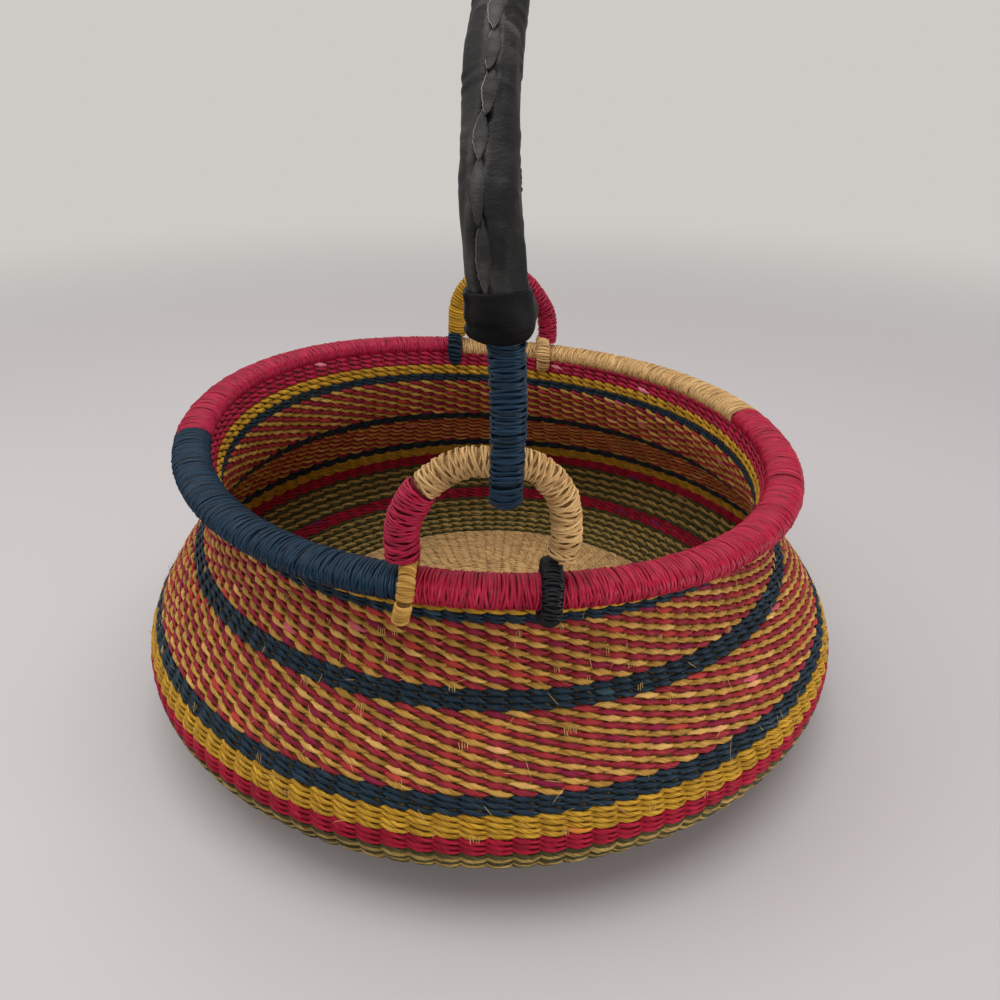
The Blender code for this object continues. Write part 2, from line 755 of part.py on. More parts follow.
def main():
    """Build the basket."""
    clear_scene()
    parts = collection("basket")
    cutters = collection("cutters")

    add_base_disc(parts)
    stripes = {name: add_stripe(parts, name, first, last) for name, first, last in stripe_spans()}
    add_rim(parts)
    tops, slots = add_ties(parts, cutters)
    cut_slots(stripes["neck_rows"], slots)

    hinge, half_span = hinge_frame()
    add_loop(parts, hinge, half_span, "front", tops, (("pink", 180, 134), ("natural", 134, 0)))
    add_loop(parts, hinge, half_span, "back", tops, (("yellow", 180, 90), ("pink", 90, 0)))

    pivot = bpy.data.objects.new("handle_pivot", None)
    parts.objects.link(pivot)
    pivot.matrix_world = hinge @ Matrix.Translation((EYE_SLIDE, 0, 0))
    bpy.context.view_layer.update()
    add_handle_core(parts, pivot, half_span)
    add_windings(parts, pivot, half_span)
    add_grip(parts, pivot, half_span)
    print("hinge at", [round(value, 5) for value in hinge.translation], "along",
          [round(value, 5) for value in hinge.col[1][:3]], "half span", round(half_span, 5))


main()
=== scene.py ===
"""The looks of a round basket twined from coloured grass, with a leather-covered swing handle.

Metres, +Z up. The front loop is on the -Y side. Every strand of grass is modelled: the two strands
of each twined row pass in front of and behind the upright stakes and cross between them, and the
rim, loops, ties and eyes are wound turn by turn.
"""
import json
import logging
import math
from dataclasses import dataclass, field, replace
from enum import Enum
from functools import cache
from typing import Any, Iterable, Optional, Sequence

import bmesh
import bpy
import numpy as np
from mathutils import Matrix, Vector


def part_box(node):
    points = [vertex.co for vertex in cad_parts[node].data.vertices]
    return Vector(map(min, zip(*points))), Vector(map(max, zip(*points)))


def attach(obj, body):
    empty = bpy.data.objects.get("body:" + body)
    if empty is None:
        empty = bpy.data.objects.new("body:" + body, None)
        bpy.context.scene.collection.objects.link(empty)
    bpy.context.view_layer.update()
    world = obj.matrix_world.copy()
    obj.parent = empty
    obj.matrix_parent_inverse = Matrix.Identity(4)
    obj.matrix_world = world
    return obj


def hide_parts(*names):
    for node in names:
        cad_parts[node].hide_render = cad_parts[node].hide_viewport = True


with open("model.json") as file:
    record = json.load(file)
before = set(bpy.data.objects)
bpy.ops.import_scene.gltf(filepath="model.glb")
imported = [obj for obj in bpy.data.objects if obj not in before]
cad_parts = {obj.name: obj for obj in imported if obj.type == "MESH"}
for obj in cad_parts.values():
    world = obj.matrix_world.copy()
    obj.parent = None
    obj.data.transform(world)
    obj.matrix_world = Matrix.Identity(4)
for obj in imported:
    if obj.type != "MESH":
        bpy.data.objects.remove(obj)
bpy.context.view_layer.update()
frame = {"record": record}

LOG = logging.getLogger("basket")
BASKET = "basket"
HANDLE = "handle"
TURN = 2 * math.pi
# How far off a surface a second point is taken to find the way out of it
STEP_OUT = 0.001
# Tones: of the palest usual strand, of an odd one, and of a bundle under a winding, kept low to
# paint shade on that bundle
PALEST_TONE = 0.94
ODD_TONE = 1.0
PAINTED_SHADE_TONE = 0.1

Array = np.ndarray
Colour = tuple[float, float, float]


def paint(red: int, green: int, blue: int) -> Colour:
    """A colour as a paint chart gives it, from 0 to 255, made linear."""
    shares = (value / 255 for value in (red, green, blue))
    return tuple(s / 12.92 if s <= 0.04045 else ((s + 0.055) / 1.055) ** 2.4 for s in shares)


def ease(share: Array) -> Array:
    """A smooth step from 0 to 1."""
    held = np.clip(share, 0, 1)
    return held * held * (3 - 2 * held)


def unit(vectors: Array) -> Array:
    """The vectors at length 1."""
    return vectors / np.maximum(np.linalg.norm(vectors, axis=-1, keepdims=True), 1e-12)


def hump(offset: Array, width: float) -> Array:
    """A smooth hump, 1 in its middle and nearly 0 past twice its width."""
    return np.exp(-((offset / width) ** 2))


def run_length(points: Array) -> Array:
    """The length along a line at each of its points."""
    steps = np.linalg.norm(np.diff(points, axis=0), axis=-1)
    return np.concatenate([[0], np.cumsum(steps)])


def wander(rng: np.random.Generator, count: int, knots: float, size: float) -> Array:
    """A smooth random line.

    Args:
        rng: the source of chance.
        count: how many values it has.
        knots: how many times it changes its mind on the way.
        size: its usual distance from 0.

    Returns:
        The values.
    """
    marks = rng.normal(0, size, int(knots) + 3)
    at = np.linspace(0, knots, count)
    low = at.astype(int)
    share = ease(at - low)
    return marks[low] * (1 - share) + marks[low + 1] * share


def sampled(length: Array, run: Array, values: Array) -> Array:
    """The values along a line, a row for each of its points, read at other lengths."""
    return np.stack([np.interp(length, run, column) for column in values.T], -1)


def smooth_curve(stations: Sequence[tuple[float, float]], cuts: int) -> Array:
    """A smooth line in a plane through the stations.

    Args:
        stations: the points that it goes through.
        cuts: how many pieces each span is cut into.

    Returns:
        The line's points, of which every one at a multiple of cuts is a station.
    """
    points = np.array(stations, float)
    spans = np.linalg.norm(np.diff(points, axis=0), axis=1)
    slopes = np.diff(points, axis=0) / spans[:, None]
    inner = slopes[:-1] * spans[1:, None] + slopes[1:] * spans[:-1, None]
    inner /= (spans[:-1] + spans[1:])[:, None]
    ways = np.vstack([slopes[:1], inner, slopes[-1:]])
    share = np.linspace(0, 1, cuts + 1)[:-1, None]
    line = []
    for i, span in enumerate(spans):
        line.append((2 * share**3 - 3 * share**2 + 1) * points[i]
                    + (share**3 - 2 * share**2 + share) * ways[i] * span
                    + (3 * share**2 - 2 * share**3) * points[i + 1]
                    + (share**3 - share**2) * ways[i + 1] * span)
    return np.vstack(line + [points[-1:]])


# Shader maths


@dataclass
class Value:
    """A number that changes over a surface, so that its maths reads as maths."""

    book: "ShaderBook"
    socket: Any

    def __add__(self, other: Any) -> "Value":
        """The sum."""
        return self.book.maths("ADD", self, other)

    __radd__ = __add__

    def __mul__(self, other: Any) -> "Value":
        """The product."""
        return self.book.maths("MULTIPLY", self, other)

    __rmul__ = __mul__

    def __sub__(self, other: Any) -> "Value":
        """This less the other."""
        return self.book.maths("SUBTRACT", self, other)

    def __rsub__(self, other: Any) -> "Value":
        """The other less this."""
        return self.book.maths("SUBTRACT", other, self)

    def above(self, low: float, high: float) -> "Value":
        """A smooth step from 0 at low to 1 at high."""
        settings = {"interpolation_type": "SMOOTHSTEP"}
        node = self.book.node("ShaderNodeMapRange", settings,
                              {"Value": self, "From Min": low, "From Max": high})
        return Value(self.book, node.outputs["Result"])


class ShaderBook:
    """The nodes of one material or world."""

    def __init__(self, owner: Any) -> None:
        """Clears the owner's nodes."""
        owner.use_nodes = True
        self.tree = owner.node_tree
        self.tree.nodes.clear()

    def node(self, kind: str, settings: Optional[dict] = None,
             inputs: Optional[dict] = None) -> bpy.types.Node:
        """Adds one node.

        Args:
            kind: the node's type.
            settings: its own properties, which are set first.
            inputs: a value, a Value or another node's socket for each socket, named by its place,
                name or identifier.

        Returns:
            The node.
        """
        node = self.tree.nodes.new(kind)
        for name, value in (settings or {}).items():
            setattr(node, name, value)
        for name, value in (inputs or {}).items():
            socket = self._socket(node, name)
            if isinstance(value, Value):
                value = value.socket
            if isinstance(value, bpy.types.NodeSocket):
                self.tree.links.new(value, socket)
            elif isinstance(value, tuple) and socket.type == "RGBA":
                socket.default_value = (*value, 1)
            else:
                socket.default_value = value
        return node

    @staticmethod
    def _socket(node: bpy.types.Node, name: Any) -> Any:
        """The input of that place, identifier or name."""
        if isinstance(name, int):
            return node.inputs[name]
        for socket in node.inputs:
            if socket.identifier == name:
                return socket
        return node.inputs[name]

    def maths(self, operation: str, *values: Any) -> Value:
        """A Math node on values and plain numbers."""
        node = self.node("ShaderNodeMath", {"operation": operation}, dict(enumerate(values)))
        return Value(self, node.outputs[0])

    def stored(self, name: str) -> Value:
        """A number stored on the mesh."""
        node = self.node("ShaderNodeAttribute", {"attribute_name": name})
        return Value(self, node.outputs["Fac"])

    def stored_vector(self, name: str, scale: Colour) -> Any:
        """A vector stored on the mesh, stretched."""
        node = self.node("ShaderNodeAttribute", {"attribute_name": name})
        return self.stretched(node.outputs["Vector"], scale)

    def stretched(self, vector: Any, scale: Colour) -> Any:
        """A vector with each of its parts scaled."""
        node = self.node("ShaderNodeVectorMath", {"operation": "MULTIPLY"}, {0: vector, 1: scale})
        return node.outputs["Vector"]

    def place(self, scale: Colour) -> Any:
        """The surface's own place in the object, stretched."""
        return self.stretched(self.node("ShaderNodeTexCoord").outputs["Object"], scale)

    def noise(self, vector: Any, detail: float = 2.0, roughness: float = 0.5) -> Value:
        """Soft noise, about 0.5."""
        node = self.node("ShaderNodeTexNoise", None,
                         {"Vector": vector, "Scale": 1.0, "Detail": detail, "Roughness": roughness})
        return Value(self, node.outputs["Fac"])

    def mixed(self, share: Any, first: Any, second: Any) -> Any:
        """A colour between two."""
        node = self.node("ShaderNodeMix", {"data_type": "RGBA"},
                         {"Factor_Float": share, "A_Color": first, "B_Color": second})
        return node.outputs[2]

    def lit(self, colour: Any, value: Any) -> Any:
        """The colour made lighter or darker."""
        node = self.node("ShaderNodeHueSaturation", None, {"Color": colour, "Value": value})
        return node.outputs["Color"]

    def raised(self, height: Value, distance: float, strength: float) -> Any:
        """The normal of a surface with that height."""
        node = self.node("ShaderNodeBump", None,
                         {"Height": height, "Distance": distance, "Strength": strength})
        return node.outputs["Normal"]

    def seen(self) -> Value:
        """1 for the camera's own rays and for those of reflections and glass, else 0."""
        path = self.node("ShaderNodeLightPath").outputs
        camera, glossy, through = (Value(self, path[f"Is {ray} Ray"])
                                   for ray in ("Camera", "Glossy", "Transmission"))
        return camera + glossy + through

    def finish(self, inputs: dict) -> None:
        """A Principled surface on the material's output."""
        surface = self.node("ShaderNodeBsdfPrincipled", None, inputs)
        self.node("ShaderNodeOutputMaterial", None, {"Surface": surface.outputs[0]})


@dataclass(frozen=True)
class Grass:
    """Dyed or plain grass, whose fibres run along each strand."""

    name: str
    deep: Colour
    body: Colour
    pale: Colour
    odd: Colour
    odd_from: float = 0.97
    dull: float = 0.46
    gloss: float = 0.14
    low: Optional[Colour] = None
    high: Optional[Colour] = None
    fibres: Colour = (70.0, 2200.0, 2200.0)
    patches: Colour = (28.0, 240.0, 240.0)
    # How much of each colour the painted-shade copy keeps, and how rough it is
    shade_light: float = 0.36
    shade_dull: float = 0.7

    def shaded(self) -> "Grass":
        """A darkened copy of the grass: painted shade for the bundles that lie deep between
        strands.
        """
        dark = {part: tuple(self.shade_light * value for value in getattr(self, part))
                for part in ("deep", "body", "pale", "odd")}
        return replace(self, name=f"{self.name}_shade", dull=self.shade_dull, low=None, high=None,
                       **dark)

    def material(self) -> bpy.types.Material:
        """The finish as a material."""
        made = bpy.data.materials.new(self.name)
        book = ShaderBook(made)
        tone = book.stored("tone")
        fibre = book.noise(book.stored_vector("grain", self.fibres), 3.0, 0.6)
        patch = book.noise(book.stored_vector("grain", self.patches))
        colour = book.mixed(fibre.above(0.36, 0.56), self.deep, self.body)
        if self.low and self.high:
            colour = book.mixed((1 - tone.above(0.1, 0.42)) * 0.6, colour, self.low)
            colour = book.mixed(tone.above(0.58, 0.9) * 0.5, colour, self.high)
        # Pale streaks along the fibres: partly the grass's own paler fibres, partly painted
        # highlight
        streak_and_highlight = fibre.above(0.56, 0.74) * patch.above(0.4, 0.7) * 0.75
        colour = book.mixed(streak_and_highlight, colour, self.pale)
        colour = book.mixed(tone.above(self.odd_from, self.odd_from + 0.01), colour, self.odd)
        # Each strand's tone lightens or darkens it at random; bundles under windings get a low
        # tone, which is painted shade.
        colour = book.lit(colour, tone * 0.36 + patch * 0.6 + 0.53)
        book.finish({
            "Base Color": colour,
            "Roughness": fibre * 0.25 + self.dull,
            "Specular IOR Level": self.gloss,
            "Normal": book.raised(fibre, 0.0003, 0.7),
        })
        return made


@dataclass(frozen=True)
class Leather:
    """Dark leather with a fine grain, soft creases and high places painted paler, partly wear and
    partly painted highlight.
    """

    name: str
    deep: Colour
    body: Colour
    rubbed_and_highlight: Colour
    edge: Colour
    dull: float = 0.42
    gloss: float = 0.15

    def material(self) -> bpy.types.Material:
        """The finish as a material."""
        made = bpy.data.materials.new(self.name)
        book = ShaderBook(made)
        height = book.stored("tone")
        cut = book.stored("cut")
        grain = book.noise(book.place((1500.0, 1500.0, 1500.0)), 3.0)
        crease = book.noise(book.place((150.0, 190.0, 480.0)), 4.0, 0.62)
        cloud = book.noise(book.place((38.0, 38.0, 30.0)), 2.0)
        colour = book.mixed(cloud.above(0.3, 0.7), self.deep, self.body)
        # High places, read from the stored tone, are painted paler: partly wear, partly painted
        # highlight
        wear_and_highlight = (height * 0.7 + crease * 0.6).above(0.62, 1.05)
        colour = book.mixed(wear_and_highlight * cloud.above(0.35, 0.65) * 0.8, colour, self.rubbed_and_highlight)
        colour = book.mixed(cut.above(0.25, 0.85), colour, self.edge)
        book.finish({
            "Base Color": colour,
            "Roughness": self.dull + crease * 0.2 + cut * 0.2,
            "Specular IOR Level": self.gloss,
            "Normal": book.raised(crease * 0.7 + grain * 0.3, 0.001, 0.7),
        })
        return made


# Each grass gives its deep, body, pale and odd colours; the pale ones are partly paler fibres and
# partly painted highlight
STRAND_FINISHES = {
    "crimson": Grass("crimson_grass", paint(100, 2, 28), paint(172, 18, 54), paint(226, 96, 122),
                     paint(200, 70, 96), dull=0.3, gloss=0.22),
    "magenta": Grass("magenta_grass", paint(98, 2, 28), paint(162, 14, 54), paint(208, 78, 110),
                     paint(196, 110, 124), dull=0.32, gloss=0.22),
    "pink": Grass("pink_grass", paint(104, 4, 26), paint(164, 20, 48), paint(200, 72, 92),
                  paint(120, 26, 78)),
    "navy": Grass("navy_grass", paint(3, 12, 22), paint(14, 43, 64), paint(54, 92, 118),
                  paint(40, 66, 80), dull=0.3, gloss=0.18),
    "black": Grass("black_grass", paint(1, 2, 5), paint(7, 9, 16), paint(34, 42, 56),
                   paint(30, 38, 48), dull=0.26, gloss=0.22),
    "yellow": Grass("yellow_grass", paint(130, 92, 30), paint(188, 142, 68), paint(220, 184, 116),
                    paint(198, 146, 94), low=paint(150, 112, 44), high=paint(206, 164, 98)),
    "gold": Grass("gold_grass", paint(124, 82, 10), paint(186, 142, 42), paint(216, 178, 88),
                  paint(176, 110, 40)),
    "red": Grass("red_grass", paint(94, 16, 24), paint(148, 40, 50), paint(190, 92, 88),
                 paint(176, 80, 90), 0.96, low=paint(132, 20, 64), high=paint(176, 62, 46)),
    "green": Grass("green_grass", paint(38, 36, 18), paint(77, 71, 37), paint(124, 114, 68),
                   paint(110, 90, 54)),
    "buff": Grass("buff_grass", paint(114, 90, 42), paint(172, 142, 80), paint(204, 176, 116),
                  paint(150, 112, 56)),
    "natural": Grass("natural_grass", paint(144, 104, 60), paint(204, 166, 112),
                     paint(234, 208, 164), paint(186, 146, 94)),
    "petrol": Grass("petrol_grass", paint(8, 14, 20), paint(25, 44, 58), paint(104, 114, 114),
                    paint(40, 60, 70), dull=0.36),
    # Stakes are darker than straw: partly their own olive-brown, partly painted shade for the gaps
    # between strands
    "stake": Grass("stake_grass", paint(50, 36, 14), paint(98, 76, 34), paint(126, 104, 56),
                   paint(98, 76, 34), dull=0.6),
    "straw": Grass("straw", paint(90, 62, 30), paint(152, 114, 66), paint(190, 154, 100),
                   paint(150, 110, 60)),
    "fibre": Grass("loose_fibre", paint(150, 116, 60), paint(206, 174, 112), paint(230, 206, 156),
                   paint(200, 160, 100)),
}
# Each leather gives deep, body, high-place and edge colours; the high-place colour is partly wear
# and partly painted highlight
LEATHERS = {
    "leather": Leather("charcoal_leather", paint(7, 7, 7), paint(19, 18, 18), paint(66, 64, 62),
                       paint(90, 86, 84)),
    "cuff": Leather("cuff_leather", paint(0, 0, 0), paint(3, 2, 3), paint(18, 16, 17),
                    paint(36, 32, 31), 0.42, 0.1),
    "thong": Leather("thong_leather", paint(20, 18, 18), paint(44, 41, 40), paint(78, 74, 72),
                     paint(146, 138, 130)),
}


@cache
def material_of(name: str) -> bpy.types.Material:
    """The finish of that name, made once; one named with _shade is its darkened copy, which is
    painted shade.
    """
    plain = name.removesuffix("_shade")
    finish = STRAND_FINISHES.get(plain) or LEATHERS[plain]
    if plain != name:
        finish = finish.shaded()
    return finish.material()


# Meshes of strands


def linked(name: str, data: Any) -> bpy.types.Object:
    """A new object with that data, in the scene."""
    made = bpy.data.objects.new(name, data)
    bpy.context.scene.collection.objects.link(made)
    return made


def mesh_object(name: str, points: Array, corners: Array, starts: Array, finishes: Sequence[str],
                stored: dict[str, Array], dyes: Optional[Array] = None,
                places: Optional[Array] = None) -> bpy.types.Object:
    """A smooth mesh object from arrays.

    Args:
        name: the piece's name.
        points: where its points are.
        corners: the point at each corner of each face, face after face.
        starts: the first corner of each face.
        finishes: the names of its finishes.
        stored: numbers or vectors kept at its points, by name.
        dyes: which finish each face wears.
        places: each corner's place on the map for its finish.

    Returns:
        The object, in the scene.
    """
    mesh = bpy.data.meshes.new(name)
    mesh.vertices.add(len(points))
    mesh.vertices.foreach_set("co", points.astype(np.float32).ravel())
    mesh.loops.add(len(corners))
    mesh.loops.foreach_set("vertex_index", corners.astype(np.int32))
    mesh.polygons.add(len(starts))
    mesh.polygons.foreach_set("loop_start", starts.astype(np.int32))
    for finish in finishes:
        mesh.materials.append(material_of(finish))
    if dyes is not None:
        mesh.polygons.foreach_set("material_index", dyes.astype(np.int32))
    mesh.update(calc_edges=True)
    for key, values in stored.items():
        kind, part = ("FLOAT", "value") if values.ndim == 1 else ("FLOAT_VECTOR", "vector")
        kept = mesh.attributes.new(key, kind, "POINT")
        kept.data.foreach_set(part, values.astype(np.float32).ravel())
    if places is not None:
        layer = mesh.uv_layers.new(name="OFBake")
        layer.uv.foreach_set("vector", places.astype(np.float32).ravel())
    mesh.shade_smooth()
    return linked(name, mesh)


class StrandMesh:
    """Many strands gathered into one piece, each with a long strip as its place on the map."""

    strip = 12
    grain_spread = 5
    cap_marks = (0.02, 0.5)
    cap_size = (0.01, 0.2)
    strip_inset = (0.02, 0.05)

    def __init__(self, name: str, finishes: Sequence[str], seed: int, sides: int = 6) -> None:
        """Starts an empty piece."""
        self.name = name
        self.finishes = list(finishes)
        self.rng = np.random.default_rng(seed)
        self.sides = sides
        self.points: list[Array] = []
        self.grain: list[Array] = []
        self.tone: list[Array] = []
        self.quads: list[Array] = []
        self.dyes: list[Array] = []
        self.cells: list[Array] = []
        self.caps: list[Array] = []
        self.cap_dyes: list[Array] = []
        self.cap_cells: list[Array] = []
        self.count = 0
        self.cell_count = 0

    def add(self, line: Array, out: Array, half_width: Any, half_depth: Any, finish: str,
            tone: Any = 0.5, closed: bool = False, cell_points: int = 60) -> None:
        """Adds strands that are alike.

        Args:
            line: the middle of each strand, strands by points by three.
            out: the direction that each point's broad face looks, in the same shape.
            half_width: half the strand's width, for each point or for all.
            half_depth: half its thickness, likewise.
            finish: the finish that they wear.
            tone: how pale each point is, from 0 to 1.
            closed: whether each strand ends where it starts.
            cell_points: how many points share one place on the map.
        """
        strands, steps = line.shape[:2]
        if closed:
            way = unit(np.roll(line, -1, 1) - np.roll(line, 1, 1))
        else:
            way = unit(np.gradient(line, axis=1))
        side = unit(np.cross(way, out))
        face = np.cross(side, way)
        wide = np.broadcast_to(half_width, (strands, steps))[:, :, None]
        deep = np.broadcast_to(half_depth, (strands, steps))[:, :, None]
        turn = TURN * np.arange(self.sides) / self.sides
        across = wide * np.cos(turn)
        above = deep * np.sin(turn)
        ring = (line[:, :, None] + side[:, :, None] * across[..., None]
                + face[:, :, None] * above[..., None])
        hops = np.linalg.norm(np.diff(line, axis=1, prepend=line[:, :1]), axis=2)
        along = np.cumsum(hops, axis=1)
        along = along + self.rng.uniform(0, self.grain_spread, (strands, 1))
        shape = (strands, steps, self.sides)
        grain = np.stack([np.broadcast_to(along[:, :, None], shape), across, above], -1)
        self.points.append(ring.reshape(-1, 3))
        self.grain.append(grain.reshape(-1, 3))
        tones = np.broadcast_to(tone, (strands, steps))[:, :, None]
        self.tone.append(np.broadcast_to(tones, shape).reshape(-1))

        dye = self.finishes.index(finish)
        runs = steps if closed else steps - 1
        s, n, k = np.meshgrid(np.arange(strands), np.arange(runs), np.arange(self.sides),
                              indexing="ij")
        after, beside = (n + 1) % steps, (k + 1) % self.sides

        def at(i: Array, j: Array) -> Array:
            """The index of a ring's point."""
            return self.count + (s * steps + i) * self.sides + j

        quads = np.stack([at(n, k), at(after, k), at(after, beside), at(n, beside)], -1)
        self.quads.append(quads.reshape(-1, 4))
        self.dyes.append(np.full(quads.size // 4, dye))
        pieces = math.ceil(runs / cell_points)
        cell = self.cell_count + s * pieces + n // cell_points
        start = (n % cell_points) / cell_points
        low, high = k / self.sides, (k + 1) / self.sides
        step = 1 / cell_points
        spot = np.stack([np.stack([start, low], -1), np.stack([start + step, low], -1),
                         np.stack([start + step, high], -1), np.stack([start, high], -1)], -2)
        number = np.broadcast_to(cell[..., None], cell.shape + (4,))
        self.cells.append(np.concatenate([number[..., None], spot], -1).reshape(-1, 3))
        if not closed:
            first = self.count + np.arange(strands)[:, None] * steps * self.sides
            ends = first + (steps - 1) * self.sides
            order = np.arange(self.sides)[None]
            self.caps += [first + order, ends + order[:, ::-1]]
            self.cap_dyes += [np.full(2 * strands, dye)]
            number = self.cell_count + np.arange(strands)[:, None] * pieces
            for where, mark in zip((0, pieces - 1), self.cap_marks):
                self.cap_cells.append(self._cap_spots(number + where, mark))
        self.count += strands * steps * self.sides
        self.cell_count += strands * pieces

    def _cap_spots(self, cells: Array, mark: float) -> Array:
        """Places on the map for the end faces of strands."""
        turn = TURN * np.arange(self.sides) / self.sides
        wide, high = self.cap_size
        spots = np.stack([mark + wide * np.cos(turn), 0.5 + high * np.sin(turn)], -1)
        spots = np.broadcast_to(spots, (len(cells), self.sides, 2))
        number = np.broadcast_to(cells[:, :, None], (len(cells), self.sides, 1))
        return np.concatenate([number, spots], -1).reshape(-1, 3)

    def build(self) -> bpy.types.Object:
        """Makes the piece."""
        quads = np.concatenate(self.quads)
        corners = [quads.ravel()]
        starts = [np.arange(len(quads)) * 4]
        dyes = list(self.dyes)
        cells = list(self.cells)
        if self.caps:
            caps = np.concatenate(self.caps)
            corners.append(caps.ravel())
            starts.append(quads.size + np.arange(len(caps)) * self.sides)
            dyes += self.cap_dyes
            cells += self.cap_cells
        return mesh_object(self.name, np.concatenate(self.points), np.concatenate(corners),
                           np.concatenate(starts), self.finishes,
                           {"grain": np.concatenate(self.grain), "tone": np.concatenate(self.tone)},
                           np.concatenate(dyes), self._spread(np.concatenate(cells)))

    def _spread(self, cells: Array) -> Array:
        """Lays the strips out on the map."""
        columns = max(math.ceil(math.sqrt(self.cell_count / self.strip)), 1)
        rows = math.ceil(self.cell_count / columns)
        number, along, around = cells[:, 0].astype(int), cells[:, 1], cells[:, 2]
        side, end = self.strip_inset
        u = (number % columns + side + (1 - 2 * side) * along) / columns
        v = (number // columns + end + (1 - 2 * end) * around) / rows
        return np.stack([u, v], -1)


def settle(piece: bpy.types.Object, body: str, slot: str, *nodes: str) -> None:
    """Attaches a finished piece to its body and hides the solids that it stands for.

    Args:
        piece: the finished object.
        body: the body that it moves with.
        slot: the record's material slot; not used.
        nodes: the solids that it stands for.
    """
    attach(piece, body)
    if nodes:
        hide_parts(*nodes)
    LOG.info("%s: %d faces on %s", piece.name, len(piece.data.polygons), body)


# The basket's shape


@dataclass(frozen=True)
class Sway:
    """How the handmade rim leans and waves, dying out at the belly."""

    start: float = 0.0413
    top: float = 0.1525
    tilt: float = 0.0075
    twist: float = 0.0012
    wave: float = 0.0015
    skew: float = 0.0025
    egg: float = 0.001
    shift: float = -0.0015

    def move(self, points: Array) -> Array:
        """Where points of the true round basket lie on the handmade one."""
        x, y, z = np.moveaxis(points, -1, 0)
        turn = np.arctan2(y, x)
        reach = np.clip((z - self.start) / (self.top - self.start), 0, 1)
        out = reach * (self.egg * np.sin(3 * turn) - self.skew * np.sin(2 * turn))
        up = reach * (self.wave * np.sin(3 * turn) - self.tilt * np.cos(turn)
                      - self.twist * np.sin(2 * turn))
        aside = out * np.cos(turn) + reach * self.shift
        return np.stack([x + aside, y + out * np.sin(turn), z + up], -1)


SWAY = Sway()


class RowKind(Enum):
    """The finishes of a row's two strands, and whether its dashes step over from row to row."""

    MAGENTA = ("magenta", "magenta", False)
    GOLD = ("gold", "gold", False)
    NAVY = ("petrol", "petrol", True)
    MIXED = ("yellow", "red", True)
    PINK = ("pink", "pink", False)
    GREEN = ("green", "green", False)
    BUFF = ("buff", "buff", False)
    NATURAL = ("natural", "natural", True)


@dataclass(frozen=True)
class Stripe:
    """One coloured stripe of rows, down to its last point on the outline."""

    node: str
    slot: str
    ends: tuple[tuple[float, float], ...]
    rows: tuple[RowKind, ...]


GREEN_AND_BUFF = (RowKind.GREEN, RowKind.BUFF)
STRIPES = (
    Stripe("neck_rows", "magenta_weave", ((0.1601, 0.1354),),
           (RowKind.MAGENTA,) * 3 + (RowKind.GOLD,) * 2),
    Stripe("neck_navy_row", "navy_weave", ((0.1599, 0.1308),), (RowKind.NAVY,) * 2),
    Stripe("upper_mixed_band", "mixed_weave", ((0.1636, 0.1165), (0.1699, 0.1029)),
           (RowKind.MIXED,) * 10),
    Stripe("upper_navy_band", "navy_weave", ((0.1761, 0.0962),), (RowKind.NAVY,) * 3),
    Stripe("lower_mixed_band", "mixed_weave", ((0.1876, 0.0825), (0.1979, 0.0677)),
           (RowKind.MIXED,) * 12),
    Stripe("lower_navy_band", "navy_weave", ((0.2025, 0.0605),), (RowKind.NAVY,) * 3),
    Stripe("yellow_band", "yellow_weave", ((0.2064, 0.0505),), (RowKind.GOLD,) * 4),
    Stripe("pink_band", "pink_weave", ((0.207, 0.0413),), (RowKind.PINK,) * 3),
    Stripe("olive_turn", "olive_weave", ((0.2031, 0.0294), (0.1921, 0.0183)),
           GREEN_AND_BUFF * 4 + (RowKind.GREEN,)),
    Stripe("pink_floor_ring", "pink_weave", ((0.184, 0.013),), (RowKind.PINK,) * 3),
    Stripe("olive_floor_ring", "olive_weave", ((0.168, 0.0056), (0.146, 0.0)),
           GREEN_AND_BUFF * 6 + (RowKind.GREEN,)),
)


